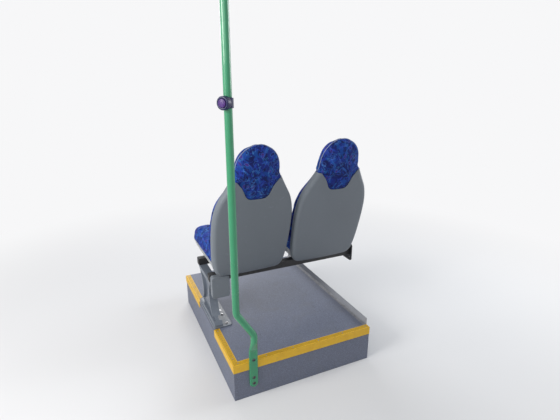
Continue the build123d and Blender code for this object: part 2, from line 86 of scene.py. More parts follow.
class Finish:
    """The nodes of a material or of the world. Colours are given as red, green and blue."""

    def __init__(self, owner):
        """Start from a new material's name, or from the world itself."""
        self.owner = bpy.data.materials.new(owner) if isinstance(owner, str) else owner
        self.owner.use_nodes = True
        self.tree = self.owner.node_tree
        self.tree.nodes.clear()

    def pick(self, sockets, key):
        """Find a socket by its number, its identifier or its name."""
        if isinstance(key, int):
            return sockets[key]
        by_identifier = {socket.identifier: socket for socket in sockets}
        return by_identifier.get(key) or sockets[key]

    def node(self, kind, settings=None, sockets=None, output=0):
        """Add a node: its settings first, then the value or the link of each socket."""
        made = self.tree.nodes.new(kind)
        for name, value in (settings or {}).items():
            setattr(made, name, value)
        for key, value in (sockets or {}).items():
            socket = self.pick(made.inputs, key)
            if isinstance(value, Signal):
                self.tree.links.new(value.socket, socket)
            elif socket.type == "RGBA":
                socket.default_value = (*value, 1.0)
            else:
                socket.default_value = value
        return Signal(self, self.pick(made.outputs, output)) if made.outputs else None

    def math(self, operation, first, second=0.0):
        """A Math node of one or two values."""
        return self.node("ShaderNodeMath", {"operation": operation}, {0: first, 1: second})

    def vector_math(self, operation, *vectors, output="Vector"):
        """A Vector Math node of one to three vectors."""
        return self.node("ShaderNodeVectorMath", {"operation": operation}, dict(enumerate(vectors)), output)

    def place(self, output="Object"):
        """Where a point lies: on its object, or on its UV map, in metres."""
        return self.node("ShaderNodeTexCoord", output=output)

    def axis(self, vector, letter):
        """One coordinate of a vector."""
        return self.node("ShaderNodeSeparateXYZ", sockets={"Vector": vector}, output=letter)

    def mapped(self, vector, **moves):
        """A vector with a Mapping node's Location, Rotation or Scale put on it."""
        return self.node("ShaderNodeMapping", sockets={"Vector": vector, **moves})

    def noise(self, per_metre, detail=2.0, distortion=0.0, vector=None, output=0):
        """Cloudy noise with a number of spots to the metre, from 0 to 1."""
        sockets = {"Scale": per_metre, "Detail": detail, "Distortion": distortion}
        sockets["Vector"] = self.place() if vector is None else vector
        return self.node("ShaderNodeTexNoise", sockets=sockets, output=output)

    def step(self, value, low, high):
        """A soft step from 0 at low to 1 at high."""
        sockets = {"Value": value, "From Min": low, "From Max": high}
        return self.node("ShaderNodeMapRange", {"interpolation_type": "SMOOTHSTEP"}, sockets)

    def mix(self, share, first, second):
        """Blend two colours."""
        sockets = {"Factor_Float": share, "A_Color": first, "B_Color": second}
        return self.node("ShaderNodeMix", {"data_type": "RGBA"}, sockets, "Result_Color")

    def bump(self, height, depth):
        """Relief whose full height is depth metres."""
        return self.node("ShaderNodeBump", sockets={"Height": height, "Distance": depth, "Strength": 1.0})

    def surface(self, sockets):
        """Join the finished shader to the material."""
        shader = self.node("ShaderNodeBsdfPrincipled", sockets=sockets)
        self.node("ShaderNodeOutputMaterial", sockets={"Surface": shader})
        return self.owner


def paint_nodes(material, *names):
    """Give CAD nodes their material."""
    for name in names:
        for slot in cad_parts[name].material_slots:
            slot.material = material


def toned(colour, share):
    """A colour made darker or paler."""
    return tuple(share * part for part in colour)


def painted_steel(name, colour, gloss, dust=0.2):
    """Sprayed or baked paint: faint orange peel, cloudy gloss and a little dust."""
    finish = Finish(name)
    cloud = finish.noise(14.0, 4.0)
    dusty = finish.step(finish.noise(55.0, 6.0), 0.5, 0.8) * dust
    coat = finish.mix(cloud, colour, toned(colour, 0.8))
    dust_colour = tuple(0.75 * part + 0.12 for part in colour)
    return finish.surface({
        "Base Color": finish.mix(dusty, coat, dust_colour),
        "Roughness": gloss + 0.16 * cloud + 0.2 * dusty,
        "Normal": finish.bump(finish.noise(900.0), 0.00005),
    })


frame_paint = painted_steel("frame_paint", (0.05, 0.052, 0.056), gloss=0.5)
paint_nodes(frame_paint, "podium_rails", "podium_bearers", "podium_posts")

# Deck: one board of birch ply, 15 mm thick, screwed to the bearers. Its plies show on the front and
# wall edges. The aisle edge, which no nosing covers at the leg, is sealed in the floor's grey.


def birch_ply(name, low, high, ply_count):
    """Pale long-grain plies with darker end-grain plies between them, and one sealed edge."""
    finish = Finish(name)
    ply = (high.z - low.z) / ply_count
    place = finish.place()
    across = finish.math("PINGPONG", finish.axis(place, "Z") - low.z, ply)
    end_grain = finish.step(across, 0.45 * ply, 0.55 * ply)
    grain = finish.noise(14.0, 8.0, 0.4, finish.mapped(place, Scale=(6.0, 6.0, 90.0)))
    pale = finish.mix(grain, (0.46, 0.32, 0.17), (0.60, 0.45, 0.27))
    dark = finish.mix(grain, (0.19, 0.11, 0.055), (0.30, 0.19, 0.10))
    sealed = finish.step(finish.axis(place, "X"), low.x + 0.0010, low.x + 0.0005)
    return finish.surface({
        "Base Color": finish.mix(sealed, finish.mix(end_grain, pale, dark), (0.095, 0.105, 0.14)),
        "Roughness": 0.62 + 0.2 * grain,
        "Normal": finish.bump(grain - 0.4 * end_grain, 0.0003),
    })


paint_nodes(birch_ply("deck_ply", *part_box("podium_deck"), ply_count=11), "podium_deck")

# Risers and floor covering: boards under the deck's edges and the tread of the podium, all faced with
# the bus's violet-grey safety vinyl, which has small pale and dark chips and a fine hard grit in it.


def safety_vinyl(name):
    """Chipped vinyl with grit, dulled where feet pass and scuffed with short dark strokes."""
    finish = Finish(name)
    place = finish.place()
    chip = finish.node("ShaderNodeTexVoronoi", sockets={"Vector": place, "Scale": 420.0}, output="Color")
    luck = finish.axis(chip, "X")
    pale_chip = finish.step(luck, 0.80, 0.84)
    dark_chip = finish.step(luck, 0.18, 0.14)
    base = finish.mix(finish.noise(5.0, 3.0), (0.122, 0.138, 0.192), (0.148, 0.165, 0.225))
    chipped = finish.mix(pale_chip * 0.3, base, (0.28, 0.31, 0.40))
    chipped = finish.mix(dark_chip * 0.3, chipped, (0.055, 0.065, 0.09))
    strokes = finish.noise(70.0, 3.0, 1.2, finish.mapped(place, Scale=(1.0, 0.18, 1.0)))
    worn = finish.mix(finish.step(strokes, 0.66, 0.74) * 0.3, chipped, (0.05, 0.05, 0.06))
    grime = finish.step(finish.noise(9.0, 8.0, 0.6), 0.45, 0.75) * 0.28
    grit = finish.noise(1500.0, 1.0)
    return finish.surface({
        "Base Color": finish.mix(grime, worn, (0.145, 0.148, 0.160)),
        "Roughness": 0.5 + 0.18 * grit + 0.12 * grime,
        "Normal": finish.bump(grit + 0.3 * finish.noise(30.0), 0.00025),
    })


vinyl = safety_vinyl("safety_vinyl")
paint_nodes(vinyl, "riser_rear", "riser_front", "riser_aisle", "riser_wall", "podium_covering")

# Coving: a pale extruded upstand that turns the floor covering up the side wall. It is glued on, and
# dirt gathers along its foot.


def coving_plastic(name, foot_height):
    """Streaky pale plastic, grimy in its lowest 16 mm."""
    finish = Finish(name)
    height = finish.axis(finish.place(), "Z") - foot_height
    grime = finish.step(height, 0.016, 0.0) * finish.noise(40.0, 5.0)
    streak = finish.noise(25.0, 4.0)
    clean = finish.mix(streak, (0.30, 0.31, 0.34), (0.38, 0.39, 0.42))
    return finish.surface({
        "Base Color": finish.mix(grime, clean, (0.09, 0.09, 0.10)),
        "Roughness": 0.42 + 0.2 * streak,
        "Normal": finish.bump(finish.noise(600.0), 0.00008),
    })


podium_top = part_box("podium_covering")[1].z
paint_nodes(coving_plastic("coving_plastic", podium_top), "coving_strip")

# Nosings: yellow extruded edge strips with four grip grooves, held by small screws down the middle
# land between the grooves. Dirt stays in the grooves, and the yellow is rubbed in patches.


def nosing_yellow(name, tread_height, groove_depth):
    """Cloudy yellow plastic with rubbed patches, and dirt where it lies below the tread."""
    finish = Finish(name)
    sunk = tread_height - finish.axis(finish.place(), "Z")
    groove = finish.step(sunk, 0.2 * groove_depth, 0.9 * groove_depth) * (sunk < 1.3 * groove_depth)
    cloud = finish.noise(30.0, 6.0)
    rub = finish.step(finish.noise(90.0, 5.0, 1.0), 0.60, 0.72) * 0.35
    clean = finish.mix(cloud, (0.66, 0.36, 0.012), (0.82, 0.51, 0.028))
    rubbed = finish.mix(rub, clean, (0.30, 0.20, 0.07))
    return finish.surface({
        "Base Color": finish.mix(groove * 0.75, rubbed, (0.10, 0.065, 0.02)),
        "Roughness": 0.42 + 0.25 * cloud,
        "Normal": finish.bump(finish.noise(1100.0, 1.0), 0.00012),
    })


yellow = nosing_yellow("nosing_yellow", podium_top, groove_depth=0.001)
paint_nodes(yellow, "nosing_rear", "nosing_aisle_rear", "nosing_aisle_front")


def new_object(name, data):
    """Link a new object into the scene."""
    made = bpy.data.objects.new(name, data)
    bpy.context.scene.collection.objects.link(made)
    return made


def settle(piece):
    """Apply a piece's modifiers, so that it is a plain mesh."""
    graph = bpy.context.evaluated_depsgraph_get()
    graph.update()
    mesh = bpy.data.meshes.new_from_object(piece.evaluated_get(graph))
    piece.modifiers.clear()
    piece.data = mesh
    return piece


def mesh_from(body, name, sharp_angle=None):
    """Turn a bmesh into a mesh. With an angle in degrees, it is smooth but for sharper edges."""
    mesh = bpy.data.meshes.new(name)
    body.to_mesh(mesh)
    body.free()
    if sharp_angle is not None:
        mesh.shade_smooth()
        mesh.set_sharp_from_angle(angle=radians(sharp_angle))
    return mesh


def turned_mesh(profile, steps):
    """Revolve a profile of radius and height round Z. It starts and ends on the axis."""
    body = bmesh.new()
    rings = []
    for radius, height in profile:
        angles = [tau * i / steps for i in range(steps)] if radius > 0 else [0.0]
        rings.append([body.verts.new((radius * cos(a), radius * sin(a), height)) for a in angles])
    for low, high in zip(rings, rings[1:]):
        for i in range(steps):
            on = i + 1
            corners = [low[i % len(low)], low[on % len(low)], high[on % len(high)], high[i % len(high)]]
            body.faces.new(list(dict.fromkeys(corners)))
    bmesh.ops.recalc_face_normals(body, faces=body.faces)
    return mesh_from(body, "turned", sharp_angle=35)


def row_tree():
    """Geometry nodes that lay copies of an object along a line, turned to its run and to its face."""
    tree = bpy.data.node_groups.new("copies along a line", "GeometryNodeTree")
    inputs = {"Line": "Geometry", "Spacing": "Float", "Copy": "Object", "Finish": "Material"}
    for name, kind in inputs.items():
        tree.interface.new_socket(name, in_out="INPUT", socket_type="NodeSocket" + kind)
    tree.interface.new_socket("Row", in_out="OUTPUT", socket_type="NodeSocketGeometry")

    def add(kind, settings=None, links=None):
        made = tree.nodes.new(kind)
        for name, value in (settings or {}).items():
            setattr(made, name, value)
        for name, source in (links or {}).items():
            if isinstance(source, bpy.types.NodeSocket):
                tree.links.new(source, made.inputs[name])
            else:
                made.inputs[name].default_value = source
        return made.outputs

    given = add("NodeGroupInput")
    curve = add("GeometryNodeMeshToCurve", links={"Mesh": given["Line"]})
    points = add(
        "GeometryNodeResampleCurve", {"mode": "LENGTH"},
        {"Curve": curve["Curve"], "Length": given["Spacing"]},
    )
    facing = add("GeometryNodeInputNamedAttribute", {"data_type": "FLOAT_VECTOR"}, {"Name": "facing"})
    run = add("GeometryNodeInputTangent")
    upright = add("FunctionNodeAlignRotationToVector", {"axis": "Z"}, {"Vector": facing["Attribute"]})
    turned = add(
        "FunctionNodeAlignRotationToVector", {"axis": "X", "pivot_axis": "Z"},
        {"Rotation": upright["Rotation"], "Vector": run["Tangent"]},
    )
    copy = add("GeometryNodeObjectInfo", links={"Object": given["Copy"], "As Instance": True})
    laid = add("GeometryNodeInstanceOnPoints", links={
        "Points": points["Curve"], "Instance": copy["Geometry"], "Rotation": turned["Rotation"],
    })
    real = add("GeometryNodeRealizeInstances", links={"Geometry": laid["Instances"]})
    dressed = add("GeometryNodeSetMaterial", links={
        "Geometry": real["Geometry"], "Material": given["Finish"],
    })
    add("NodeGroupOutput", links={"Row": dressed["Geometry"]})
    return tree


copies_along = row_tree()


def lay_row(name, lines, spacing, pattern, material):
    """Lay copies of a pattern mesh along lines of (point, facing) pairs and return them as one piece."""
    points = [point for line in lines for point, facing in line]
    facings = [value for line in lines for point, facing in line for value in facing]
    edges = []
    first = 0
    for line in lines:
        edges += [(first + i, first + i + 1) for i in range(len(line) - 1)]
        first += len(line)
    mesh = bpy.data.meshes.new(name)
    mesh.from_pydata(points, edges, [])
    mesh.attributes.new("facing", "FLOAT_VECTOR", "POINT").data.foreach_set("vector", facings)
    row = new_object(name, mesh)
    copy = new_object(name + "_copy", pattern)
    nodes = row.modifiers.new("row", "NODES")
    nodes.node_group = copies_along
    given = {"Spacing": spacing, "Copy": copy, "Finish": material}
    for item in copies_along.interface.items_tree:
        if item.name in given:
            nodes[item.identifier] = given[item.name]
    settle(row)
    bpy.data.objects.remove(copy)
    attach(row, "root")
    return row


def plated_steel(name, colour=(0.34, 0.34, 0.35)):
    """Zinc-plated steel: soft cloudy shine with fine rub marks."""
    finish = Finish(name)
    cloud = finish.noise(160.0, 4.0)
    return finish.surface({
        "Base Color": finish.mix(cloud, colour, toned(colour, 0.7)),
        "Metallic": 0.95,
        "Roughness": 0.30 + 0.25 * cloud,
        "Normal": finish.bump(finish.noise(2200.0, 1.0), 0.00002),
    })


zinc = plated_steel("zinc_plate")
screw_radius = 0.0036
screw_mesh = turned_mesh([
    (0.0, 0.0002), (0.35 * screw_radius, 0.0002), (0.45 * screw_radius, 0.0008),
    (0.85 * screw_radius, 0.0007), (screw_radius, 0.0), (screw_radius, -0.0008), (0.0, -0.0008),
], steps=16)
nosing_lip = 0.003
nosing_width = 0.028
screw_in = nosing_lip + nosing_width / 2
screw_from_end = 0.020
screw_from_mitre = 0.030
screw_from_corner = 0.060
screw_spacing = 0.15
screw_z = podium_top + 0.0002
up = Vector((0, 0, 1))
rear_low, rear_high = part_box("nosing_rear")
aisle_low, aisle_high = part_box("nosing_aisle_rear")
front_low, front_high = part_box("nosing_aisle_front")
screw_ends = [
    ((rear_low.x + screw_from_mitre, rear_low.y + screw_in),
     (rear_high.x - screw_from_end, rear_low.y + screw_in)),
    ((aisle_low.x + screw_in, aisle_high.y - screw_from_end),
     (aisle_low.x + screw_in, aisle_low.y + screw_from_corner)),
    ((front_low.x + screw_in, front_low.y + screw_from_end),
     (front_low.x + screw_in, front_high.y - screw_from_end)),
]
screw_lines = [[((x, y, screw_z), up) for x, y in ends] for ends in screw_ends]
lay_row("nosing_screws", screw_lines, screw_spacing, screw_mesh, zinc)

# Seat stand: two black square beams run from the aisle leg to a plate on the side wall. Wedge
# carriers on them hold the pans at their tilt, and bent straps hold the two back shells.

black_paint = painted_steel("black_powder_coat", (0.022, 0.022, 0.025), gloss=0.38, dust=0.15)
paint_nodes(
    black_paint, "seat_beam_rear", "seat_beam_front", "wall_plate", "carrier_aisle", "carrier_wall",
    "back_brackets_aisle", "back_brackets_wall",
)


def new_piece(name, mesh, material):
    """Link a mesh as a piece of the object, with the material it takes its finish from."""
    piece = new_object(name, mesh)
    piece.data.materials.append(material)
    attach(piece, "root")
    return piece


def boxes_mesh(boxes, bevel):
    """Blocks between pairs of corners, with bevelled edges."""
    body = bmesh.new()
    for low, high in boxes:
        middle = Matrix.Translation([(a + b) / 2 for a, b in zip(low, high)])
        size = Matrix.Diagonal([b - a for a, b in zip(low, high)] + [1.0])
        bmesh.ops.create_cube(body, size=1.0, matrix=middle @ size)
    edges = list(body.edges)
    bmesh.ops.bevel(body, geom=edges, offset=bevel, segments=2, affect="EDGES", clamp_overlap=True)
    return mesh_from(body, "blocks", sharp_angle=40)


def bead_mesh(lines, radius):
    """Weld beads along straight lines: scalloped ropes of round steps, half sunk in the steel."""
    places = []
    for low, high in lines:
        run = Vector(high) - Vector(low)
        count = max(2, round(run.length / (1.1 * radius)))
        for k in range(count + 1):
            place = Vector(low) + run * k / count
            if all((place - other).length > 0.1 * radius for other in places):
                places.append(place)
    body = bmesh.new()
    for place in places:
        drop = Matrix.Translation(place)
        bmesh.ops.create_uvsphere(body, u_segments=8, v_segments=6, radius=radius, matrix=drop)
    return mesh_from(body, "beads", sharp_angle=180)


def lines_round(corners):
    """Lines from each corner to the next, and from the last to the first."""
    return list(zip(corners, corners[1:] + corners[:1]))


def rubber(name, shade):
    """Moulded black plastic or rubber, matt, with a dusty bloom."""
    finish = Finish(name)
    bloom = finish.noise(60.0, 5.0)
    return finish.surface({
        "Base Color": finish.mix(bloom, toned((1.0, 1.0, 1.05), shade), toned((1.9, 1.9, 2.0), shade)),
        "Roughness": 0.55 + 0.2 * bloom,
        "Normal": finish.bump(finish.noise(1300.0, 1.0), 0.00006),
    })


# Each cap's flange and plug: where it starts and ends along the beam, and how far in its sides stand.
cap_flange = (-0.0035, 0.0, 0.0005)
cap_plug = (-0.001, 0.012, 0.0035)
beams = ("seat_beam_rear", "seat_beam_front")
wall_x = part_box("wall_plate")[0].x
cap_boxes = []
beam_weld_lines = []
for beam in beams:
    low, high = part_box(beam)
    for start, end, inset in (cap_flange, cap_plug):
        cap_boxes.append((
            (low.x + start, low.y + inset, low.z + inset), (low.x + end, high.y - inset, high.z - inset),
        ))
    beam_weld_lines += lines_round([
        (wall_x, low.y, low.z), (wall_x, high.y, low.z), (wall_x, high.y, high.z), (wall_x, low.y, high.z),
    ])
cap_rubber = rubber("cap_rubber", shade=0.018)
new_piece("beam_end_caps", boxes_mesh(cap_boxes, bevel=0.0008), cap_rubber)
new_piece("beam_welds", bead_mesh(beam_weld_lines, radius=0.0028), black_paint)

# Aisle leg: a waisted pedestal of blue-grey painted steel that stands on a foot plate, which laps the
# podium's edge and is held by a row of plated bolts. A grey moulded cap hides the beam's end behind it.

leg_paint = painted_steel("leg_paint", (0.15, 0.175, 0.215), gloss=0.32, dust=0.3)
paint_nodes(leg_paint, "aisle_leg", "leg_foot_plate")
paint_nodes(zinc, "leg_foot_bolts")
washer_mesh = turned_mesh([
    (0.0, 0.0012), (0.0095, 0.0012), (0.0105, 0.0004), (0.0105, 0.0), (0.0, 0.0),
], steps=24)
bolt_count = 4
bolts_low, bolts_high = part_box("leg_foot_bolts")
bolts_x = (bolts_low.x + bolts_high.x) / 2
bolt_half_flat = (bolts_high.x - bolts_low.x) / 2 * cos(radians(30))
first_bolt_y = bolts_low.y + bolt_half_flat
last_bolt_y = bolts_high.y - bolt_half_flat
bolt_line = [((bolts_x, first_bolt_y, bolts_low.z), up), ((bolts_x, last_bolt_y, bolts_low.z), up)]
bolt_spacing = (last_bolt_y - first_bolt_y) / (bolt_count - 1)
lay_row("leg_foot_washers", [bolt_line], bolt_spacing, washer_mesh, zinc)
leg_low, leg_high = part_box("aisle_leg")
plate_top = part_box("leg_foot_plate")[1].z
leg_weld_lines = lines_round([
    (leg_low.x, leg_low.y, plate_top), (leg_high.x, leg_low.y, plate_top),
    (leg_high.x, leg_high.y, plate_top), (leg_low.x, leg_high.y, plate_top),
])
weld_end_gap = 0.002
outer_weld_in = 0.0005
for beam in beams:
    low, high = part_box(beam)
    for x in (leg_low.x + outer_weld_in, leg_high.x):
        leg_weld_lines.append(((x, low.y + weld_end_gap, low.z), (x, high.y - weld_end_gap, low.z)))
new_piece("leg_welds", bead_mesh(leg_weld_lines, radius=0.0032), leg_paint)


def grained_plastic(name, colour, scuffed):
    """Moulded ABS with a fine leather-like grain, faint flow clouds and pale scuffs."""
    finish = Finish(name)
    place = finish.place()
    grain = finish.node("ShaderNodeTexVoronoi", {"feature": "SMOOTH_F1"}, {"Vector": place, "Scale": 700.0})
    flow = finish.noise(3.5, 3.0, 0.3)
    tone = finish.mix(flow, toned(colour, 0.93), toned(colour, 1.06))
    fleck = finish.mix(finish.step(grain, 0.1, 0.6) * 0.22, tone, toned(colour, 1.25))
    slanted = finish.mapped(place, Rotation=(0.5, 0.9, 0.3), Scale=(1.0, 9.0, 1.0))
    scratch = finish.step(finish.noise(26.0, 4.0, 0.5, slanted), 0.69, 0.74) * scuffed
    scuffs = finish.step(finish.noise(48.0, 6.0), 0.62, 0.78) * scuffed
    return finish.surface({
        "Base Color": finish.mix(scratch + 0.6 * scuffs, fleck, toned(colour, 1.6)),
        "Roughness": 0.46 + 0.12 * flow + 0.1 * scuffs,
        "Specular IOR Level": 0.45,
        "Normal": finish.bump(grain, 0.00022),
    })


shell_plastic = grained_plastic("shell_plastic", (0.155, 0.175, 0.200), scuffed=0.34)
paint_nodes(shell_plastic, "leg_cover")

# Seat pans: paler moulded trays with a rolled rim and ribs underneath, screwed to the carriers.

pan_plastic = grained_plastic("pan_plastic", (0.36, 0.375, 0.385), scuffed=0.15)
paint_nodes(pan_plastic, "seat_pan_aisle", "seat_pan_wall")

# Back shells: one-piece moulded shells, 4 mm thick, with rolled sides, a closed bottom and two rounded
# shoulders that the upholstery passes between. Two round bosses inside each are screwed to the straps.

recline = radians(15.4)
back_foot_y = -0.200
back_foot_z = podium_top + 0.302
shell_rim = 0.046
shell_wall = 0.004
shell_corner = 0.034
least_corner = 0.004
widest_half = 0.218
pad_dish = 0.016
pad_edge = 0.024
seat_centres = {}
for side in ("aisle", "wall"):
    seat_centres[side] = sum(corner.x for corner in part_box("back_shell_" + side)) / 2

# One row for each section of the back. Columns: distance up the back, half the width, how far the rear
# face lies forward in its middle and then at its sides, and how far the front of the pad lies forward.
back_rows = [
    (0.000, 0.158, 0.022, 0.005, 0.084),
    (0.014, 0.184, 0.009, 0.008, 0.090),
    (0.060, 0.205, 0.002, 0.011, 0.094),
    (0.190, 0.218, 0.000, 0.014, 0.096),
    (0.360, 0.217, 0.000, 0.015, 0.092),
    (0.455, 0.196, 0.001, 0.014, 0.088),
    (0.530, 0.157, 0.002, 0.011, 0.084),
    (0.585, 0.129, 0.003, 0.009, 0.082),
    (0.640, 0.118, 0.004, 0.008, 0.080),
    (0.695, 0.101, 0.007, 0.007, 0.078),
    (0.728, 0.074, 0.015, 0.005, 0.072),
    (0.746, 0.044, 0.026, 0.003, 0.060),
]


def back_row(s):
    """The back's section at a distance up it, on smooth curves through the rows."""
    i = max([0] + [k for k in range(len(back_rows) - 1) if back_rows[k][0] < s])
    low, high = back_rows[i], back_rows[i + 1]
    before = back_rows[max(i - 1, 0)]
    after = back_rows[min(i + 2, len(back_rows) - 1)]
    span = high[0] - low[0]
    t = (s - low[0]) / span
    values = []
    for k in range(1, len(low)):
        slope_low = (high[k] - before[k]) / (high[0] - before[0]) * span
        slope_high = (after[k] - low[k]) / (after[0] - low[0]) * span
        values.append(
            (2 * t**3 - 3 * t**2 + 1) * low[k] + (t**3 - 2 * t**2 + t) * slope_low
            + (3 * t**2 - 2 * t**3) * high[k] + (t**3 - t**2) * slope_high
        )
    return values


def rounded(points, radii, steps):
    """Return a run of points with each inner corner turned into an arc of its radius."""
    run = [Vector(points[0])]
    for before, corner, after, radius in zip(points, points[1:], points[2:], radii):
        back = (Vector(before) - Vector(corner)).normalized()
        on = (Vector(after) - Vector(corner)).normalized()
        half_angle = back.angle(on) / 2
        centre = Vector(corner) + (back + on).normalized() * radius / sin(half_angle)
        reach = radius * cos(half_angle) / sin(half_angle)
        start = Vector(corner) + back * reach - centre
        end = Vector(corner) + on * reach - centre
        run += [centre + start.slerp(end, k / steps).normalized() * radius for k in range(steps + 1)]
    run.append(Vector(points[-1]))
    return run


# The edge between shell and upholstery, from the tongue's middle outwards: distance out, distance up.
shoulder_edge = rounded(
    [(0.0, 0.479), (0.054, 0.479), (0.080, 0.541), (0.112, 0.582), (0.240, 0.567)],
    [0.040, 0.060, 0.016], steps=10,
)


def edge_height(x):
    """How far up the back the shell ends at a distance from its middle."""
    for low, high in zip(shoulder_edge, shoulder_edge[1:]):
        if low.x <= abs(x) <= high.x and high.x > low.x:
            return low.y + (high.y - low.y) * (abs(x) - low.x) / (high.x - low.x)
    return shoulder_edge[-1].y


def right_outline(s, inset, front, steps):
    """Right half of a section, from its rear middle to a distance forward, or to the pad's front middle."""
    half, rear, bow, pad_front = back_row(s)
    rear_steps, corner_steps, side_steps, front_steps = steps
    half -= inset
    rear += inset
    pad_front -= inset
    corner = max(least_corner, min(shell_corner, 0.8 * (shell_rim - rear + inset - bow)) - inset)
    lean = 0.0
    for _ in range(3):
        foot = half - corner + corner * sin(lean)
        lean = atan(2 * bow * foot / half**2)
    centre = Vector((half - corner, rear + bow * (foot / half) ** 2 + corner * cos(lean)))
    points = []
    for k in range(rear_steps):
        x = foot * k / rear_steps
        points.append(Vector((x, rear + bow * (x / half) ** 2)))
    for k in range(corner_steps + 1):
        turn = lean - pi / 2 + (pi / 2 - lean) * k / corner_steps
        points.append(centre + corner * Vector((cos(turn), sin(turn))))
    soft = min(pad_edge, 0.36 * (pad_front - rear))
    side_end = pad_front - soft if front is None else front
    for k in range(1, side_steps + 1):
        points.append(Vector((half, centre.y + (side_end - centre.y) * k / side_steps)))
    if front is not None:
        return points
    for k in range(1, corner_steps + 1):
        turn = pi / 2 * k / corner_steps
        points.append(Vector((half - soft + soft * cos(turn), side_end + soft * sin(turn))))
    dish = pad_dish * half / widest_half
    for k in range(1, front_steps + 1):
        x = (half - soft) * (1 - k / front_steps)
        points.append(Vector((x, pad_front - dish * (1 - (x / (half - soft)) ** 2))))
    return points


def on_back(x, forward, s):
    """A point in the bus from its place on a back."""
    return Vector((
        x,
        back_foot_y - s * sin(recline) + forward * cos(recline),
        back_foot_z + s * cos(recline) + forward * sin(recline),
    ))


def edge_for_column(column, outline_at):
    """The distance up the back where one column of a section's points meets the shoulder edge."""
    low, high = 0.40, 0.70
    for _ in range(24):
        middle = (low + high) / 2
        if middle < edge_height(outline_at(middle)[column].x):
            low = middle
        else:
            high = middle
    return (low + high) / 2


# Points of half a section: across the rear, round each corner, along the side and over the front.
shell_steps = (18, 9, 3, 0)
shell_rows = 64
shell_row_crowding = 1.4


def shell_mesh():
    """Skin of one shell at x = 0, in columns that run from its bottom up to the shoulder edge."""

    def outline_at(s):
        return right_outline(s, 0.0, shell_rim, shell_steps)

    last = len(outline_at(0.0)) - 1
    ends = [edge_for_column(column, outline_at) for column in range(last + 1)]
    body = bmesh.new()
    grid = []
    for row in range(shell_rows + 1):
        share = (row / shell_rows) ** shell_row_crowding
        line = {}
        for column in range(last + 1):
            s = ends[column] * share
            x, forward = outline_at(s)[column]
            line[column] = body.verts.new(on_back(x, forward, s))
            line[-column] = body.verts.new(on_back(-x, forward, s)) if column else line[0]
        grid.append([line[k] for k in range(-last, last + 1)])
    for low, high in zip(grid, grid[1:]):
        for k in range(2 * last):
            body.faces.new((low[k], low[k + 1], high[k + 1], high[k]))
    bottom = grid[0]
    for k in range(last - 1):
        body.faces.new((bottom[k + 1], bottom[k], bottom[-1 - k], bottom[-2 - k]))
    body.faces.new((bottom[last + 1], bottom[last], bottom[last - 1]))
    bmesh.ops.recalc_face_normals(body, faces=body.faces)
    rearmost = min(body.faces, key=lambda face: face.calc_center_median().y)
    if rearmost.normal.y > 0:
        bmesh.ops.reverse_faces(body, faces=body.faces)
    return mesh_from(body, "shell")


def boss_mesh(radius, height):
    """Round boss with a screw socket in its end."""
    return turned_mesh([
        (0.0, 0.4 * height), (0.30 * radius, 0.4 * height), (0.30 * radius, height),
        (0.94 * radius, height), (radius, 0.95 * height), (1.12 * radius, 0.0), (0.0, 0.0),
    ], steps=24)


def joined(name, meshes, sharp_angle):
    """One mesh from several."""
    body = bmesh.new()
    for part in meshes:
        body.from_mesh(part)
    return mesh_from(body, name, sharp_angle)


def copied_across(mesh, x):
    """A copy of a mesh, moved along X."""
    copy = mesh.copy()
    copy.transform(Matrix.Translation((x, 0, 0)))
    return copy


walled = new_object("walled", shell_mesh())
wall = walled.modifiers.new("wall", "SOLIDIFY")
wall.thickness = shell_wall
wall.offset = -1.0
rim = walled.modifiers.new("rim", "BEVEL")
rim.width = 0.0012
rim.segments = 2
rim.angle_limit = radians(50)
settle(walled)
boss_radius = 0.011
boss_up = 0.068
boss_out = 0.066
boss_reach = 0.020
bosses = []
for out in (-boss_out, boss_out):
    boss = boss_mesh(boss_radius, boss_reach - shell_wall / 2)
    turn = Matrix.Rotation(recline - pi / 2, 4, "X")
    boss.transform(Matrix.Translation(on_back(out, shell_wall / 2, boss_up)) @ turn)
    bosses.append(boss)
whole_shell = joined("whole_shell", [walled.data] + bosses, sharp_angle=42)
bpy.data.objects.remove(walled)
for side, centre_x in seat_centres.items():
    skin = copied_across(whole_shell, centre_x)
    shell = new_piece("shell_" + side, skin, shell_plastic)
    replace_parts(shell, "back_shell_" + side)

# Upholstered backs: moulded foam in a patterned plush cover. The cover fills the shell in front, swells
# out above its shoulders as the head, and hangs behind between them as a tongue.


